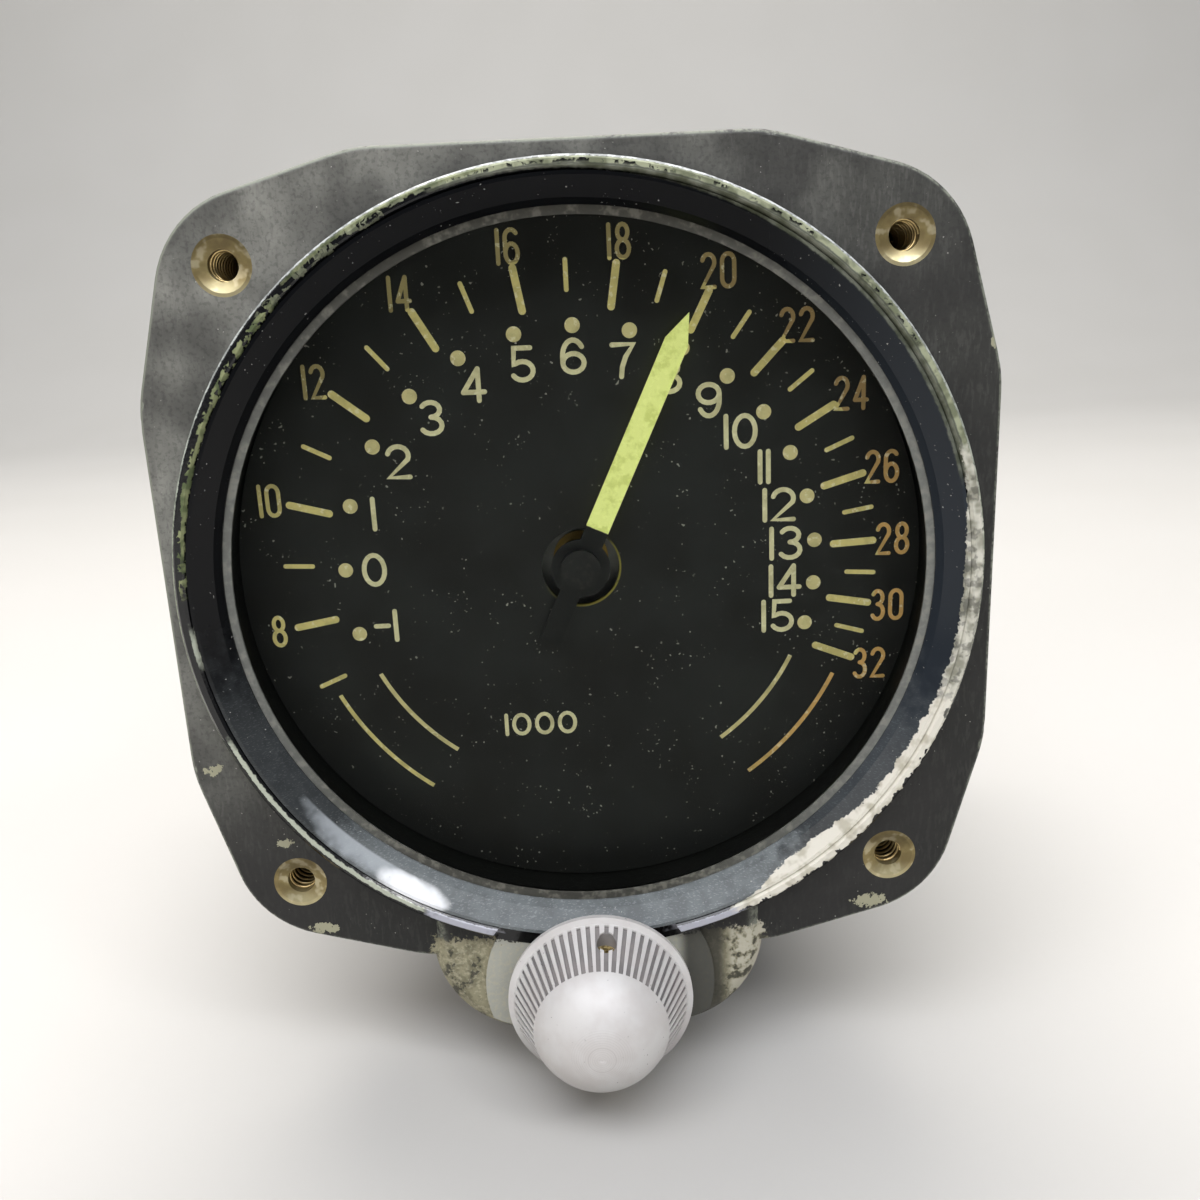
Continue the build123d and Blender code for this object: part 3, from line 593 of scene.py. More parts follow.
def marks_recipe():
    """Round-ended marks on a circle, spaced as air pressure falls with altitude."""
    recipe = Recipe("scale_marks", {
        "First altitude": ("NodeSocketFloat", 0.0),
        "Step": ("NodeSocketFloat", 1.0),
        "Count": ("NodeSocketInt", 2),
        "Pressure lead": ("NodeSocketFloat", 0.0),
        "Inner radius": ("NodeSocketFloat", 0.02),
        "Outer radius": ("NodeSocketFloat", 0.03),
        "Width": ("NodeSocketFloat", 0.001),
        "Thickness": ("NodeSocketFloat", 0.00005),
        "Face": ("NodeSocketFloat", 0.0),
        "Material": ("NodeSocketMaterial", None),
    })
    inner, outer, width = (recipe.input(n) for n in ("Inner radius", "Outer radius", "Width"))
    outline = recipe.make(
        "GeometryNodeCurvePrimitiveQuadrilateral", width=width, height=outer - inner + width
    )
    rounded = recipe.node("GeometryNodeFilletCurve", {"mode": "POLY"}, {
        "Curve": outline, "Radius": width * NEARLY_HALF, "Count": MARK_CORNER_POINTS, "Limit Radius": True,
    })
    face = recipe.node("GeometryNodeFillCurve", {"mode": "NGONS"}, {"Curve": rounded.outputs[0]}).outputs[0]
    mark = recipe.closed_slab(face, recipe.input("Thickness"))
    index = Number(recipe, recipe.make("GeometryNodeInputIndex"))
    altitude = recipe.input("First altitude") + recipe.input("Step") * index
    pressure = SEA_LEVEL * (1 - LAPSE * altitude) ** LAPSE_POWER + recipe.input("Pressure lead")
    angle = (SEA_ANGLE + DEGREES_PER_PSI * (SEA_LEVEL - pressure)) * (math.pi / 180)
    middle = (inner + outer) * 0.5
    place = recipe.node("ShaderNodeCombineXYZ", values={
        0: angle.math("SINE") * middle, 1: recipe.input("Face"), 2: angle.math("COSINE") * middle,
    })
    points = recipe.make("GeometryNodePoints", count=recipe.input("Count"), position=place.outputs[0])
    spin = recipe.make("FunctionNodeAxisAngleToRotation", axis=(0, 1, 0), angle=angle)
    marks = recipe.make("GeometryNodeInstanceOnPoints", points=points, instance=mark, rotation=spin)
    recipe.end(marks, recipe.input("Material"))
    return recipe


def curve_points(centre, radii, start, end, steps=10):
    """Points on an ellipse's arc: angles in degrees, anticlockwise from the right."""
    points = []
    for step in range(steps + 1):
        angle = math.radians(start + (end - start) * step / steps)
        points.append((centre[0] + radii[0] * math.cos(angle), centre[1] + radii[1] * math.sin(angle)))
    return points


def figure_strokes(figure, half, height, corner):
    """A figure's strokes as lists of points: it stands on 0 and is centred across."""
    top, waist, bowl = height, 0.53 * height, 0.29 * height
    head = (top - waist) / 2
    if figure == "0":
        loop = curve_points((0, top - corner), (half, corner), 0, 180)
        return [loop + curve_points((0, corner), (half, corner), 180, 360) + [loop[0]]]
    if figure == "1":
        return [[(0, 0), (0, top)]]
    if figure == "2":
        bend = min(corner, 0.3 * height)
        arc = curve_points((0, top - bend), (half, bend), 165, -25)
        return [arc + [(-half, 0), (half, 0)]]
    if figure == "3":
        upper = curve_points((0, top - head), (0.88 * half, head), 150, -90)
        lower = curve_points((0, waist / 2), (half, waist / 2), 90, -150)
        return [upper, lower]
    if figure == "4":
        stem, bar = 0.45 * half, 0.27 * height
        return [[(stem, 0), (stem, top)], [(stem, top), (-half, bar)], [(-half, bar), (half, bar)]]
    if figure == "5":
        arc = curve_points((0, bowl), (half, bowl), 128, -150, 14)
        return [[(0.8 * half, top), (-0.72 * half, top), (-0.8 * half, 0.5 * height)] + arc]
    if figure == "6":
        hook = curve_points((0, top - corner), (half, corner), 35, 180)
        loop = curve_points((0, bowl), (half, bowl), 0, 360, 18)
        return [hook + [(-half, bowl)], loop]
    if figure == "7":
        fall = [(half, top), (0.25 * half, 0.62 * height), (-0.1 * half, 0.3 * height), (-0.2 * half, 0)]
        return [[(-half, top)] + fall]
    if figure == "8":
        upper = curve_points((0, top - head), (0.84 * half, head), 0, 360, 16)
        lower = curve_points((0, waist / 2), (half, waist / 2), 0, 360, 16)
        return [upper, lower]
    if figure == "9":
        turned = figure_strokes("6", half, height, corner)
        return [[(-x, top - z) for x, z in stroke] for stroke in turned]
    if figure == "-":
        return [[(-0.62 * half, 0.5 * height), (0.62 * half, 0.5 * height)]]
    raise RuntimeError(f"no strokes for {figure!r}")


def ribbon(bm, points, width, front, back, round_ends=True):
    """A flat stroke of even width along a path in the XZ plane, with rounded ends."""
    path = [Vector((x, 0, z)) for x, z in points]
    loop = (path[0] - path[-1]).length < 1e-7
    if loop:
        path = path[:-1]
    count = len(path)
    sections = []
    for i, point in enumerate(path):
        before = path[i - 1] if loop or i else point
        after = path[(i + 1) % count] if loop or i < count - 1 else point
        first = (point - before).normalized() if point != before else None
        last = (after - point).normalized() if after != point else None
        first, last = first or last, last or first
        along = (first + last).normalized()
        miter = min(MITER_LIMIT, 1 / max(0.3, along.dot(first)))
        sections.append((point, along, width / 2 * miter))
    if round_ends and not loop:
        caps = [math.radians(a) for a in CAP_ANGLES]
        for end, sign in ((0, -1), (-1, 1)):
            point, along, half = sections[end]
            extra = [(point + sign * along * half * math.sin(a), along, half * math.cos(a)) for a in caps]
            sections = extra[::-1] + sections if end == 0 else sections + extra
    rows = []
    for point, along, half in sections:
        side = along.cross(Vector((0, 1, 0))) * half
        spots = ((point - side, front), (point + side, front), (point + side, back), (point - side, back))
        rows.append([bm.verts.new((spot.x, y, spot.z)) for spot, y in spots])
    pairs = list(zip(rows, rows[1:])) + ([(rows[-1], rows[0])] if loop else [])
    for low, high in pairs:
        for i in range(4):
            j = (i + 1) % 4
            bm.faces.new((low[i], low[j], high[j], high[i]))
    if not loop:
        bm.faces.new(rows[0])
        bm.faces.new(rows[-1][::-1])


def write_number(bm, text, centre, style, front):
    """A number's strokes, upright and centred on a point of the dial.

    The style is half a figure's width, its height, corner radius and stroke, and the space between the
    stroke centres of neighbours.
    """
    half, height, corner, stroke, spacing = style
    widths = {"1": 0.0, "-": 1.1 * half}
    spans = [widths.get(figure, 2 * half) + stroke for figure in text]
    gap = spacing - stroke
    start = centre[0] - (sum(spans) + gap * (len(text) - 1)) / 2
    for figure, span in zip(text, spans):
        middle = start + span / 2
        start += span + gap
        for layer, path in enumerate(figure_strokes(figure, half, height, corner)):
            placed = [(middle + x, centre[1] - height / 2 + z) for x, z in path]
            ribbon(bm, placed, stroke, front - layer * STROKE_STEP, DIAL_FACE)


def figure_finish(settings):
    """Printed paint: cream on the left and the inner scale, turning amber on the outer right, and lit a
    little from within as painted light.
    """
    finish = Finish("dial_figures")
    radius = finish.distance()
    numbers = radius.above(FIGURES_FROM, 0.1)
    arc = radius.above(27, 1) * finish.z.below(-12, 2) * (1.0 - numbers)
    right = finish.ramp(finish.x, 0, 27) * numbers.most(arc) * 0.9
    faded = finish.z.above(10, 16) * numbers * 0.7
    grime = finish.noise(1.4, 4, shift=(3, 1, 7))
    tone = finish.layers(
        settings.cream, ("c9b877", radius.above(DOTS_FROM, 0.2) * 0.6),
        ("d8c87f", radius.above(TICKS_FROM, 0.6) * 0.8), (settings.amber, right),
        ("75664a", faded), ("7d7148", grime.above(0.55, 0.3) * 0.35),
        ("eee6c4", finish.noise(0.7, 3, shift=(1, 8, 2)).above(0.6, 0.08) * 0.5),
    )
    # The figures shine a little on their own: painted light that brightens them.
    finish.material.cycles.emission_sampling = "NONE"
    return finish.surface(
        base_color=tone, roughness=0.75, normal=finish.bump(finish.noise(0.25, 1), 0.012),
        emission_color=tone, emission_strength=FIGURE_PAINTED_GLOW,
    )


class INSTRUMENT_OT_scales(bpy.types.Operator):
    """Ticks and dots of both altitude scales, and the curved lines below them"""

    bl_idname = "instrument.scales"
    bl_label = "Scales"

    def execute(self, context):
        settings = context.scene.instrument_dial
        recipe = marks_recipe()
        paint = figure_finish(settings)
        shared = {"Thickness": settings.relief, "Face": DIAL_FACE, "Material": paint}
        outer, dot_circle = settings.tick_outer, settings.dot_circle
        scales = {
            "inner_dots": (INNER_ALTITUDES, 0.0, dot_circle, dot_circle, settings.dot),
            "long_ticks": (EVEN_ALTITUDES, CABIN_LEAD, settings.major_inner, outer, settings.major_width),
            "short_ticks": (ODD_ALTITUDES, CABIN_LEAD, settings.minor_inner, outer, settings.minor_width),
        }
        for name, (altitudes, lead, start, end, width) in scales.items():
            trim = 0 if start == end else width / 2
            mesh = from_recipe(name, recipe, {
                **shared, "First altitude": float(altitudes.start), "Step": float(altitudes.step),
                "Count": len(altitudes), "Pressure lead": lead, "Width": width,
                "Inner radius": start + trim, "Outer radius": end - trim,
            })
            new_piece(name, mesh, paint, "case_body")
        self.arcs(settings, paint)
        return {"FINISHED"}

    def arcs(self, settings, paint):
        bm = bmesh.new()
        front = DIAL_FACE - settings.relief
        for radius in ARC_RADII:
            for side in (-1, 1):
                angles = [side * (ARC_START + ARC_SPAN * step / ARC_STEPS) for step in range(ARC_STEPS + 1)]
                path = [clock(radius, math.radians(angle)) for angle in angles]
                ribbon(bm, path, settings.arc_width, front, DIAL_FACE, round_ends=False)
        new_piece("scale_arcs", mesh_from("scale_arcs", bm), paint, "case_body")


class INSTRUMENT_OT_figures(bpy.types.Operator):
    """Plain numbers of both scales"""

    bl_idname = "instrument.figures"
    bl_label = "Figures"

    def execute(self, context):
        settings = context.scene.instrument_dial
        paint = bpy.data.materials["dial_figures"]
        inner = (
            settings.inner_half, settings.inner_height, settings.inner_height / 2, settings.inner_stroke,
            INNER_SPACING,
        )
        outer = (
            settings.outer_half, settings.outer_height, OUTER_CORNER, settings.outer_stroke, OUTER_SPACING,
        )
        inner_places = self.places(settings.inner_circle, INNER_ALTITUDES, 0.0)
        x, z = inner_places["1"]
        inner_places["1"] = (x - settings.inner_half / 2, z)  # The lone 1 stands a little to the left
        outer_places = self.places(settings.outer_circle, EVEN_ALTITUDES, CABIN_LEAD)
        for name, style, places in (
            ("inner_figures", inner, inner_places),
            ("outer_figures", outer, outer_places),
            ("legend_number", LEGEND_STYLE, {"1000": LEGEND_PLACE}),
        ):
            bm = bmesh.new()
            for text, centre in places.items():
                write_number(bm, text, centre, style, DIAL_FACE - settings.relief)
            new_piece(name, mesh_from(name, bm), paint, "case_body")
        return {"FINISHED"}

    def places(self, radius, altitudes, lead):
        """Each number of a scale with its centre."""
        return {str(a): clock(radius, math.radians(scale_angle(a, lead))) for a in altitudes}


class INSTRUMENT_OT_dial(bpy.types.Operator):
    """Matt paint, dust and the worn edge of the centre hole on the dial plate"""

    bl_idname = "instrument.dial"
    bl_label = "Dial"

    def execute(self, context):
        settings = context.scene.instrument_dial
        finish = Finish("dial_black")
        radius = finish.distance()
        cloud = finish.noise(9, 2).above(0.5, 0.5)
        dust = finish.specks(0.3, 3.0)
        front = finish.y.below(DIAL_FACE / MM + 0.45, 0.1)
        hole = radius.within(*HOLE_EDGE, 0.1) * front
        hole_tone = finish.ramp(finish.x - finish.z, -3, 5)
        tone = finish.layers(
            settings.black, ("25221f", cloud * 0.6), ("cfc9bd", dust * front * 0.85),
            ("a89a45", hole * hole_tone * finish.noise(1.2, 2).above(0.35, 0.2)),
        )
        finish_node("dial_plate", finish.surface(
            base_color=tone, roughness=0.62 + 0.2 * cloud, normal=finish.bump(finish.noise(0.12, 1), 0.002)
        ))
        return {"FINISHED"}


# Pointer

LUME_PAINTED_GLOW = 0.55


class INSTRUMENT_OT_pointer(bpy.types.Operator):
    """Luminous blade that shines on its own as painted light, black root and tail, and the black hub"""

    bl_idname = "instrument.pointer"
    bl_label = "Pointer"

    def execute(self, context):
        settings = context.scene.instrument_pointer
        finish = Finish("pointer_paint")
        reach = finish.x * math.sin(POINTER_ANGLE) + finish.z * math.cos(POINTER_ANGLE)
        edge = (reach + finish.noise(0.6, 2) * 0.3).above(settings.lume_start / MM + 0.15, 0.1)
        mottle = finish.noise(1.3, 3)
        lume = finish.layers(
            settings.lume, ("c3cb6a", mottle.above(0.55, 0.2) * 0.6),
            ("f3f7a0", finish.noise(0.5, 2).above(0.6, 0.15) * 0.4),
        )
        tone = finish.mix("0d0d0d", lume, edge)
        # The luminous coat shines on its own: painted light that brightens the blade.
        finish.material.cycles.emission_sampling = "NONE"
        finish_node("pointer", finish.surface(
            base_color=tone, roughness=0.55, emission_color=finish.mix("000000", lume, edge),
            emission_strength=LUME_PAINTED_GLOW, normal=finish.bump(finish.noise(0.2, 2), 0.01),
        ))
        hub = Finish("hub_black")
        rub = hub.noise(0.5, 3)
        finish_node("pointer_hub", hub.surface(
            base_color=hub.mix("0f0f0f", "3a3732", rub.above(0.6, 0.2) * 0.5),
            roughness=0.35 + 0.2 * rub, normal=hub.bump(rub, 0.01),
        ))
        return {"FINISHED"}


# Threads in the inserts and ports

INSERT_THREAD_START = 0.9 * MM
INSERT_THREAD = {"Depth": 0.2 * MM, "Pitch": 0.79 * MM, "Turns": 11.0, "Radius": 1.45 * MM}
PORT_THREAD_START = PORT_MOUTH - 10.0 * MM
PORT_THREAD = {"Depth": 0.28 * MM, "Pitch": 0.94 * MM, "Turns": 10.0, "Radius": 4.2 * MM, "Resolution": 36}


def thread_recipe():
    """A screw thread's ridge in a bore along Y, from a place backwards."""
    recipe = Recipe("thread", {
        "Radius": ("NodeSocketFloat", 0.0015),
        "Pitch": ("NodeSocketFloat", 0.0008),
        "Turns": ("NodeSocketFloat", 10.0),
        "Depth": ("NodeSocketFloat", 0.0002),
        "Resolution": ("NodeSocketInt", 24),
        "Place": ("NodeSocketVector", (0, 0, 0)),
        "Material": ("NodeSocketMaterial", None),
    })
    turns, pitch, radius = (recipe.input(n) for n in ("Turns", "Pitch", "Radius"))
    line = recipe.make(
        "GeometryNodeCurveSpiral", resolution=recipe.input("Resolution"), rotations=turns,
        start_radius=radius, end_radius=radius, height=turns * pitch,
    )
    section = recipe.make("GeometryNodeCurvePrimitiveCircle", resolution=4, radius=recipe.input("Depth"))
    ridge = recipe.make("GeometryNodeCurveToMesh", curve=line, profile_curve=section, fill_caps=True)
    placed = recipe.make(
        "GeometryNodeTransform", geometry=ridge, rotation=(-math.pi / 2, 0, 0),
        translation=recipe.input("Place"),
    )
    recipe.end(placed, recipe.input("Material"))
    return recipe


def joined_mesh(name, meshes):
    """One mesh that holds several."""
    bm = bmesh.new()
    for mesh in meshes:
        bm.from_mesh(mesh)
    result = bpy.data.meshes.new(name)
    bm.to_mesh(result)
    bm.free()
    return result


class INSTRUMENT_OT_threads(bpy.types.Operator):
    """Thread ridges in the four screw inserts and the two rear ports"""

    bl_idname = "instrument.threads"
    bl_label = "Threads"

    def execute(self, context):
        recipe = thread_recipe()
        sides = (-INSERT_PLACE, INSERT_PLACE)
        inserts = [(x, INSERT_THREAD_START, z) for x in sides for z in sides]
        ports = [(0, PORT_THREAD_START, rise) for rise in (0, PORT_RISE)]
        self.cut(recipe, "insert_threads", "insert_brass", inserts, INSERT_THREAD)
        self.cut(recipe, "port_threads", "cover_paint", ports, PORT_THREAD)
        return {"FINISHED"}

    def cut(self, recipe, name, paint, places, sizes):
        """Threads of one size as one piece, in the finish of the part that they are cut in."""
        material = bpy.data.materials[paint]
        inputs = {**sizes, "Material": material}
        threads = [from_recipe("thread", recipe, {**inputs, "Place": place}) for place in places]
        new_piece(name, joined_mesh(name, threads), material, "case_body")


# Case and ring finishes: places in millimetres, and angles in degrees clockwise from the top

LIP_FOOT, LIP_ZONE, LIP_BACK = 39.45, 39.9, -0.7
BOSS_TOP, BOSS_REACH, BOSS_BACK = -38.7, 18.6, 9.2
COLLAR_REACH, COLLAR_BACK = 12.6, -1.0
BAND_FADE = 3.0
BARE_SPOTS = (
    (-32.5, -26.8, 0.9, 0.5), (-29.4, -37.1, 1.4, 0.6), (29.5, -36.8, 1.6, 0.8), (-38.8, -18.2, 0.9, 0.6),
    (40.2, 22.1, 0.4, 0.9),
)
CHIPS_FROM = 36.3
# Places on the ring: the middle of the hazy film with painted sheen, the painted highlight, and the pale
# hazy patch with painted sheen, as angles and radii.
HAZE_AND_SHEEN_ANGLE = 184.0
PAINTED_HIGHLIGHT_SPOT = (-149, 37.4, 6.5, 1.3)
PALE_HAZE_AND_SHEEN_SPOT = (-137, 36.0, 12.0, 1.9)


class LipWear:
    """Where the gloss coat of the lip and the ring has worn off, and where highlights are painted on the
    edges, by angle and radius.
    """

    def __init__(self, finish):
        self.finish = finish
        self.radius, self.angle = finish.distance(), finish.clock_angle()
        self.front = finish.y.below(-0.9, 0.2)
        self.coarse = finish.noise(1.2, 2, 0.62, shift=(2, 0, 5)) - 0.5
        self.fine = finish.noise(0.32, 1, 0.6) - 0.5
        self.flakes = finish.noise(1.0, 2, 0.6, shift=(9, 4, 2))

    def band(self, start, end, low, high, ragged, soft=0.1):
        """A band from one angle to another, clockwise from the top, with rough edges."""
        middle, half = (start + end) / 2, (end - start) / 2
        offset = self.finish.math("WRAP", self.angle - middle, 180.0, -180.0)
        along = abs(offset + self.coarse * 2 * BAND_FADE).below(half, BAND_FADE)
        rough = self.radius + self.coarse * ragged + self.fine * ragged * 0.5
        return along * rough.within(low, high, soft) * self.front

    def ramp(self, *stops):
        """A value that changes with the angle: each stop is (from, to, change)."""
        return sum(self.finish.ramp(self.angle, start, end) * change for start, end, change in stops)

    def cream(self):
        """Pale undercoat: a wide strip at the lower right that narrows upwards."""
        bites = self.flakes.above(0.5, 0.25) * 0.5
        inner = 37.5 + self.ramp((104, 122, -0.25), (128, 139, -0.55), (145, 160, 1.7))
        wide = self.band(109, 159, inner, 39.3 - bites, 0.7)
        side = self.band(72, 112, 38.3 + self.ramp((74, 88, -0.8)), 39.3, 0.7)
        side = side * (1.0 - self.flakes.above(0.55, 0.1) * 0.5)
        return wide, side

    def olive(self):
        """Rubbed undercoat from the top to the upper right: a dim zone that widens inwards."""
        dim = self.band(-18, 76, 38.45 - self.ramp((-18, 40, 0.7)), 38.75, 0.3, 0.35)
        streaks = self.finish.waver(self.radius + self.coarse * 0.3, 0.22, 1.0).above(0.5, 0.2)
        return dim * (0.55 + 0.45 * streaks)

    def fringe(self):
        """Pale strip inside the lip's edge, broken by a row of dark chips along the top."""
        left = self.band(-46, -24, 38.3, 39.0, 0.8) * self.patches() * 0.45
        strip = (self.band(-30, 76, 38.66, 39.22, 0.25) * 0.85).most(left)
        rough = self.radius + self.coarse * 0.6 + self.fine * 0.4
        dashes = self.finish.waver(self.angle + self.coarse * 6, 1.9).above(0.5, 0.08)
        few = self.finish.waver(self.angle, 7.0, 1.0).above(0.45, 0.1).most(self.angle.below(12, 6))
        return strip * (1.0 - dashes * few * rough.within(38.42, 38.95, 0.12) * self.angle.below(60, 6))

    def patches(self):
        return self.flakes.above(0.5, 0.05)

    def slivers(self):
        """Green-gold traces on the left."""
        left = self.band(-88, -44, 38.1, 38.75, 0.6) * self.patches()
        left = left.most(self.band(-84, -60, 38.2, 38.45, 0.25))
        return left.most(self.band(-40, -10, 38.85, 39.2, 0.4) * 0.6)

    def glints(self):
        """Painted highlights: thin bright edges on the lower left."""
        return self.band(-99, -94, 38.0, 38.45, 0.3).most(self.band(-152, -112, 38.4, 38.85, 0.35))

    def bare(self):
        """Bright metal along the outer edge, strongest at the top, where it is also a painted highlight."""
        line = (self.radius + self.fine * 0.25).within(39.22, 39.65, 0.12) * self.front
        return line * abs(self.angle + 6).below(92, 70) * (0.6 + 0.4 * self.patches())

    def ends(self):
        """Bare land of the lip where it stops on each side of the knob."""
        return self.band(157, 168, 38.4, 39.2, 0.2).most(self.band(-164, -153, 38.35, 39.2, 0.2))


def lip_coats(wear, settings):
    """The worn lip's coats and painted highlights as (colour, mask) pairs, and one mask of the worn coats.
    """
    finish = wear.finish
    wide, side = wear.cream()
    olive, fringe, slivers = wear.olive(), wear.fringe(), wear.slivers()
    glints, ends = wear.glints(), wear.ends()
    cloud = finish.noise(1.6, 2, 0.6, shift=(4, 9, 1))
    worn_cream = finish.mix(settings.primer, "a8a28e", cloud.above(0.55, 0.2) * 0.7)
    coats = (
        (finish.mix("4b4f3c", "75786a", cloud.above(0.5, 0.3)), olive),
        (finish.mix("757b60", "a5aa8c", cloud.above(0.5, 0.2)), fringe),
        (finish.mix("4f5a37", "848a62", cloud.above(0.5, 0.2)), slivers),
        ("b4b9a8", glints * 0.9),
        (finish.mix("c9c7ba", "8c8b7c", cloud.above(0.5, 0.25)), side),
        (worn_cream, wide), ("a9aab4", ends),
    )
    return coats, olive.most(fringe).most(slivers).most(side).most(wide)


def bare_spots(finish):
    """Ragged chips through the paint of the flange, each with its place and half sizes."""
    ragged = finish.noise(0.9, 3, 0.7) * 7.0 - 3.5
    spots = 0.0
    for x, z, half_wide, half_high in BARE_SPOTS:
        across, up = (finish.x - x) / half_wide, (finish.z - z) / half_high
        spots = (across * across + up * up + ragged).below(1.0, 0.2) + spots
    return spots.least(1.0)


def case_finish(settings):
    """Worn satin paint on a casting: dusty flange with painted light on its upper left, rubbed boss and
    chipped lip with painted highlights.
    """
    finish = Finish("case_paint")
    radius = finish.distance()
    fine = finish.noise(0.45, 2, 0.65)
    reach = finish.distance(0, KNOB_Z / MM)
    ragged = (fine - 0.5) * 3.0
    tab = (finish.z + ragged).below(BOSS_TOP, 0.5) * (reach + ragged).below(BOSS_REACH, 0.5)
    tab = tab * finish.y.below(BOSS_BACK, 0.3)
    body = finish.blend(
        flange_shader(finish, settings, fine), boss_shader(finish, settings, fine, reach),
        tab * radius.above(LIP_FOOT, 0.2),
    )
    lip = radius.below(LIP_ZONE, 0.05) * finish.y.below(LIP_BACK, 0.1)
    return finish.output(finish.blend(body, lip_shader(finish, settings), lip))


def flange_shader(finish, settings, fine):
    """Satin paint, dusty and lighter on the upper left partly as painted light, with chips and stained edges
    that carry a painted highlight.
    """
    facing = finish.facing()
    broad = finish.noise(13, 2, 0.65, shift=(3, 0, 2))
    mid = finish.noise(3.2, 3, 0.65, shift=(4, 4, 4))
    streaks = finish.noise(1.1, 2, 0.7, shift=(8, 1, 3), stretch=(2.2, 1, 0.5))
    face = facing.above(0.6, 0.5) * finish.y.below(1.0, 0.6)
    # Dust and painted light: the flange is lighter toward the upper left and darker toward the bottom.
    upper = finish.ramp(0.3 * finish.z - finish.x, -50, 50) * finish.ramp(finish.z, -34, -2)
    # Stained edges that also carry a painted highlight, a little stronger toward the upper left.
    edge_stain_and_highlight = facing.within(0.1, 0.93, 0.14) * finish.y.below(0.9, 0.2)
    edge_stain_and_highlight = edge_stain_and_highlight * (fine * 0.6 + mid * 0.5 + 0.12 * upper).above(0.55, 0.25)
    tone = finish.layers(
        settings.paint,
        (settings.dust, upper * face * (0.25 + 0.8 * mid)),
        ("6f6e69", streaks.above(0.56, 0.14) * face * (0.08 + 0.5 * upper)),
        ("191817", broad.below(0.5, 0.22) * 0.6),
        ("121110", fine.above(0.56, 0.16) * 0.28),
        ("c9c6be", finish.specks(0.24, 2.5) * face * 0.6),
        ("9a987f", bare_spots(finish) * face), (settings.stain, edge_stain_and_highlight * 0.8),
    )
    return finish.principled(
        base_color=tone, roughness=0.42 + 0.3 * mid, normal=finish.bump(finish.noise(0.6, 1, 0.7), 0.05)
    )


def lip_shader(finish, settings):
    """Gloss coat, chipped and worn, on the raised lip, with painted highlights on its edge."""
    wear = LipWear(finish)
    coats, worn = lip_coats(wear, settings)
    # Metal of the worn edge, whiter toward the top as painted light.
    metal = finish.mix("8f9a78", "c8cbc9", finish.ramp(finish.z, -10, 34))
    tone = finish.layers(settings.ring, *coats, (metal, wear.bare()))
    return finish.principled(
        base_color=tone, roughness=0.18 + 0.55 * worn, normal=finish.bump(wear.coarse, 0.04)
    )


def boss_shader(finish, settings, fine, reach):
    """Rubbed khaki coat: pale on the left and on the collar, dark beside the knob on the right."""
    collar = reach.below(COLLAR_REACH, 0.4) * finish.y.below(COLLAR_BACK, 0.2)
    scabs = finish.noise(1.8, 3, 0.65, shift=(1, 7, 3))
    dark = finish.x.within(9.0, 13.6, 1.5).most(scabs.above(0.6, 0.05) * (1.0 - collar) * 0.9)
    tone = finish.layers(
        settings.khaki, ("5d5b47", scabs.above(0.5, 0.15) * 0.6), ("acada4", collar * 0.85),
        ("b8b29a", fine.above(0.56, 0.15) * 0.45), ("2b2a24", dark * 0.88),
        ("bdb9a8", finish.x.above(14.2, 1.0) * scabs.below(0.55, 0.1) * 0.8),
    )
    return finish.principled(
        base_color=tone, roughness=0.6 + 0.2 * scabs, normal=finish.bump(scabs, 0.05)
    )


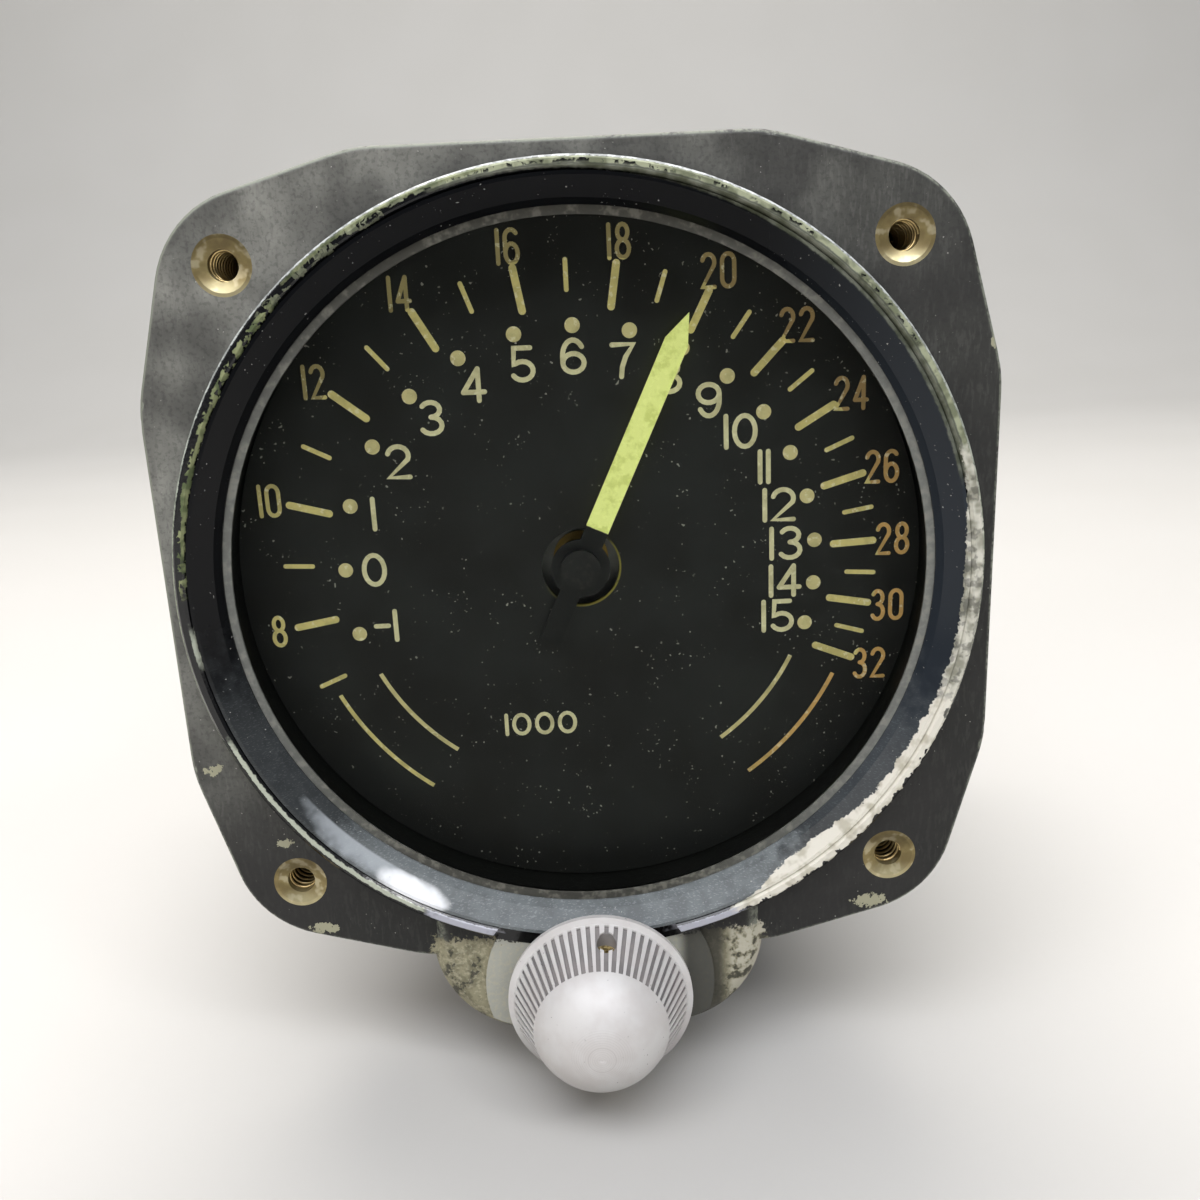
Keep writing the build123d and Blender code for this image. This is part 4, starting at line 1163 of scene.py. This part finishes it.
class INSTRUMENT_OT_case(bpy.types.Operator):
    """Worn paint of the casting, the brass inserts, the gloss ring and the seal, with painted light and
    shade on the casting, inserts and ring
    """

    bl_idname = "instrument.case"
    bl_label = "Case"

    def execute(self, context):
        settings = context.scene.instrument_case
        finish_node("case", case_finish(settings))
        finish_node("bezel_ring", self.ring(settings))
        finish_node("glass_gasket", self.gasket(settings))
        finish_node("mount_inserts", self.inserts(settings))
        return {"FINISHED"}

    def ring(self, settings):
        finish = Finish("bezel_gloss")
        wear = LipWear(finish)
        coats, worn = lip_coats(wear, settings)
        dust = finish.specks(0.22, 2.0, shift=(3, 3, 3))
        cloud = finish.noise(2.2, 2, 0.65)
        # A hazy film on the bottom of the ring, and there also a painted sheen: a painted reflection that
        # lightens the gloss.
        turned = finish.math("WRAP", wear.angle - HAZE_AND_SHEEN_ANGLE, 180.0, -180.0)
        apart = abs(turned + (cloud - 0.5) * 24)
        haze_and_sheen = apart.below(41, 18).most(apart.below(72, 20) * 0.25) * (0.75 + 0.25 * cloud.above(0.5, 0.4))
        scratches = finish.noise(0.35, 1, 0.6, shift=(0, 5, 9), stretch=(1, 1, 4)).above(0.62, 0.05)
        # The rubbed spot is a painted highlight. The pale patch beside it is a hazy film with painted sheen.
        rubbed = self.spot(wear, cloud, *PAINTED_HIGHLIGHT_SPOT)
        pale_haze_and_sheen = self.spot(wear, cloud, *PALE_HAZE_AND_SHEEN_SPOT)
        # The ring lightens toward the right as a painted reflection. Scratches show only where the sheen is
        # painted.
        tone = finish.layers(
            settings.ring, ("272c32", finish.ramp(finish.x, 16, 34)), ("6e7374", haze_and_sheen),
            ("b9bfc3", pale_haze_and_sheen * 0.6), ("b4babd", scratches * haze_and_sheen * 0.25), ("f6f8fa", rubbed * 0.9),
            ("b9b9b4", dust * 0.7),
        )
        plain = finish.principled(base_color=tone, roughness=0.14 + 0.25 * haze_and_sheen, specular_ior_level=0.16)
        chipped = finish.principled(
            base_color=finish.layers(tone, *coats), roughness=0.14 + 0.25 * haze_and_sheen + 0.5 * worn,
            specular_ior_level=0.16,
        )
        return finish.output(finish.blend(plain, chipped, wear.radius.above(CHIPS_FROM, 0.1)))

    def spot(self, wear, cloud, angle, radius, half_angle, half_radius):
        """A soft patch on the ring, with its place and half sizes in degrees and millimetres."""
        around, out = (wear.angle - angle) / half_angle, (wear.radius - radius) / half_radius
        return (around * around + out * out + cloud).below(1.2, 0.9) * wear.front

    def gasket(self, settings):
        finish = Finish("gasket_grey")
        wear = finish.noise(0.9, 2)
        tone = finish.layers(
            settings.gasket, ("a9aca6", abs(finish.x + 4).above(24, 26) * (0.25 + 0.3 * wear)),
            ("2b2b27", wear.above(0.5, 0.3) * 0.35), ("8d8b80", wear.below(0.4, 0.2) * 0.4),
        )
        return finish.surface(base_color=tone, roughness=0.8, normal=finish.bump(wear, 0.02))

    def inserts(self, settings):
        finish = Finish("insert_brass")
        tarnish = finish.noise(1.3, 2, 0.5)
        rise = finish.z - finish.math("SIGN", finish.z) * (INSERT_PLACE / MM)
        tone = finish.layers(
            settings.brass, ("6b5c3e", tarnish.above(0.55, 0.2) * 0.5),
            ("cfc6a8", tarnish.below(0.42, 0.12) * 0.5),
            # Painted light on the lower side of each insert's mouth, painted shade on its upper side and
            # painted shade deep in the bore.
            ("e6ddb4", finish.ramp(-rise, 0.8, 2.4) * 0.4),
            ("2e2416", finish.ramp(rise, 0.2, 2.0) * 0.45),
            ("2a2114", finish.y.above(1.2, 1.4) * 0.75),
        )
        return finish.surface(
            base_color=tone, roughness=0.3 + 0.25 * tarnish, metallic=0.7, normal=finish.bump(tarnish, 0.03)
        )


class INSTRUMENT_OT_glass(bpy.types.Operator):
    """Clear flat glass with a faint shine"""

    bl_idname = "instrument.glass"
    bl_label = "Glass"

    def execute(self, context):
        finish = Finish("glass")
        shine = Number(finish, finish.node("ShaderNodeFresnel", values={"IOR": 1.4}).outputs[0]) * 0.6
        clear = finish.node("ShaderNodeBsdfTransparent", values={"Color": "f4f6f4"}).outputs[0]
        body = finish.principled(base_color="101010", roughness=0.03)
        finish_node("cover_glass", finish.output(finish.blend(clear, body, shine)))
        return {"FINISHED"}


# Knob: its skirt, flutes and dome, in millimetres

SKIRT_BACK, SKIRT_LENGTH = -4.7, 5.05
SKIRT_RADIUS, SHOULDER_RADIUS = 9.2, 6.85
FLUTES = (-9.8, -4.75)
FLUTE_DEPTH = 0.16
DOME_FRONT = -12.6
RING_RADIUS = 1.35
TURNING_RADIUS, TURNING_WAVES = 3.2, 28.0


class INSTRUMENT_OT_knob(bpy.types.Operator):
    """Blasted aluminium with grime and painted shade in the flutes, painted shade on its lower side, and
    turning marks on the dome
    """

    bl_idname = "instrument.knob"
    bl_label = "Knob"

    def execute(self, context):
        settings = context.scene.instrument_knob
        finish = Finish("knob_aluminium")
        radius = finish.distance(0, KNOB_Z / MM)
        taper = (SKIRT_RADIUS - SHOULDER_RADIUS) / SKIRT_LENGTH
        cone = SKIRT_RADIUS + (finish.y - SKIRT_BACK) * taper
        floor = (cone - radius).above(FLUTE_DEPTH, 0.1) * finish.y.within(*FLUTES, 0.1)
        grain = finish.noise(0.16, 2, 0.7)
        cloud = finish.noise(3.5, 3)
        pits = finish.specks(0.25, 3.0, shift=(1, 5, 2))
        front = finish.y.below(DOME_FRONT, 0.5)
        ring = abs(radius - RING_RADIUS).below(0.0, 0.16) * front
        marks = (radius * TURNING_WAVES).math("SINE") * radius.below(TURNING_RADIUS, 1.2) * front
        # Painted shade: the knob darkens toward its lower side.
        low = finish.ramp(KNOB_Z / MM - finish.z, 1, 9)
        # The flute colour is grime and painted shade. The grey on the lower side is painted shade.
        tone = finish.layers(
            settings.metal, (settings.dirt, floor * (0.75 + 0.25 * cloud)), ("706c6a", low * 0.5),
            ("b9b0ac", cloud.above(0.5, 0.3) * 0.3), ("4b4744", pits * 0.8),
            ("a49e9c", marks.above(0.6, 0.5) * 0.15), ("8f8784", ring * 0.5),
        )
        finish_node("knob", finish.surface(
            base_color=tone, roughness=0.56 + 0.2 * floor + 0.1 * cloud, metallic=0.3 - 0.2 * floor,
            normal=finish.bump(grain, 0.014),
        ))
        dirty = Finish("set_screw_steel")
        grime = dirty.noise(0.4, 3)
        finish_node("knob_set_screw", dirty.surface(
            base_color=dirty.mix("7d6b42", "c9b57c", grime.above(0.5, 0.2)),
            roughness=0.5, metallic=0.6, normal=dirty.bump(grime, 0.04),
        ))
        return {"FINISHED"}


# Plain finishes for the mechanism and the rear


def metal_finish(name, bright, dull, roughness, grain):
    """Machined metal: two tones in soft patches, and fine turning marks of the given grain."""
    finish = Finish(name)
    stain = finish.noise(4.0, 4)
    marks = finish.noise(grain, 3, 0.6, stretch=(1, 6, 1))
    tone = finish.mix(bright, dull, stain.above(0.5, 0.4) * 0.8)
    return finish.surface(
        base_color=tone, roughness=roughness + 0.15 * marks, metallic=1.0, normal=finish.bump(marks, 0.01)
    )


def rubber_finish():
    """Black rubber with a faint grey bloom."""
    finish = Finish("seal_rubber")
    bloom = finish.noise(2.0, 4)
    return finish.surface(
        base_color=finish.mix("1b1b1a", "3c3b39", bloom.above(0.5, 0.3) * 0.5),
        roughness=0.75, normal=finish.bump(bloom, 0.02),
    )


def cover_finish():
    """Dark paint with metal showing at worn edges."""
    finish = Finish("cover_paint")
    mid = finish.noise(2.4, 5, 0.6)
    worn = (finish.edge(0.4) + (mid - 0.5) * 0.3).above(0.12, 0.1)
    tone = finish.layers(
        "1d1c1b", ("3b3833", mid.above(0.5, 0.3) * 0.5), ("8a8677", worn * 0.7),
    )
    return finish.surface(
        base_color=tone, roughness=0.45 + 0.2 * mid, metallic=worn * 0.6,
        normal=finish.bump(finish.noise(0.5, 4), 0.02),
    )


METALS = {
    "brass": ("c9a760", "8a6c38", 0.3, 0.5),
    "steel": ("a9a8a5", "77736c", 0.3, 0.4),
    "spring_steel": ("8e8d8c", "5c5a58", 0.32, 0.3),
    "plate_aluminium": ("b4b3b0", "8c8b88", 0.4, 0.8),
}
PLAIN_PARTS = {
    "brass": (
        "spindle_bushes", "pillars", "shaft_bush", "valve_seat", "port_screen", "main_gear", "idler_gear",
        "knob_pinion", "crosshead", "bellows",
    ),
    "steel": (
        "dial_screws", "stop_studs", "pillar_screws", "plate_screws", "idler_pin", "idler_clip",
        "shaft_washer", "gear_cover_screws", "guide_rods", "cover_screws", "spindle", "gear_stop_pin",
        "knob_shaft", "valve_poppet",
    ),
    "spring_steel": ("backlash_spring", "poppet_spring"),
    "plate_aluminium": ("front_plate", "rear_plate"),
    "seal_rubber": ("shaft_seal", "cover_gasket"),
    "cover_paint": ("gear_cover", "rear_cover"),
}


class INSTRUMENT_OT_mechanism(bpy.types.Operator):
    """Finishes of the gears, shafts, valve, plates, fastenings and rear cover"""

    bl_idname = "instrument.mechanism"
    bl_label = "Mechanism and rear"

    def execute(self, context):
        materials = {name: metal_finish(name, *look) for name, look in METALS.items()}
        materials["seal_rubber"] = rubber_finish()
        materials["cover_paint"] = cover_finish()
        for name, nodes in PLAIN_PARTS.items():
            for node in nodes:
                finish_node(node, materials[name])
        return {"FINISHED"}


# Panel, registration and the run itself

STEPS = (
    INSTRUMENT_OT_stage, INSTRUMENT_OT_mechanism, INSTRUMENT_OT_case, INSTRUMENT_OT_glass,
    INSTRUMENT_OT_dial, INSTRUMENT_OT_scales, INSTRUMENT_OT_figures, INSTRUMENT_OT_pointer,
    INSTRUMENT_OT_knob, INSTRUMENT_OT_threads,
)
GROUPS = {
    "instrument_stage": StageSettings,
    "instrument_dial": DialSettings,
    "instrument_case": CaseSettings,
    "instrument_pointer": PointerSettings,
    "instrument_knob": KnobSettings,
}


class INSTRUMENT_PT_panel(bpy.types.Panel):
    """Lists the steps that build the instrument's looks"""

    bl_idname = "INSTRUMENT_PT_panel"
    bl_label = "Instrument"
    bl_space_type = "VIEW_3D"
    bl_region_type = "UI"
    bl_category = "Instrument"

    def draw(self, context):
        for step in STEPS:
            self.layout.operator(step.bl_idname)


def register():
    for group in GROUPS.values():
        bpy.utils.register_class(group)
    for name, group in GROUPS.items():
        setattr(bpy.types.Scene, name, PointerProperty(type=group))
    for step in STEPS:
        bpy.utils.register_class(step)
    bpy.utils.register_class(INSTRUMENT_PT_panel)


def unregister():
    bpy.utils.unregister_class(INSTRUMENT_PT_panel)
    for step in reversed(STEPS):
        bpy.utils.unregister_class(step)
    for name, group in GROUPS.items():
        delattr(bpy.types.Scene, name)
        bpy.utils.unregister_class(group)


def main():
    register()
    for step in STEPS:
        family, action = step.bl_idname.split(".")
        getattr(getattr(bpy.ops, family), action)()


if __name__ == "__main__":
    main()
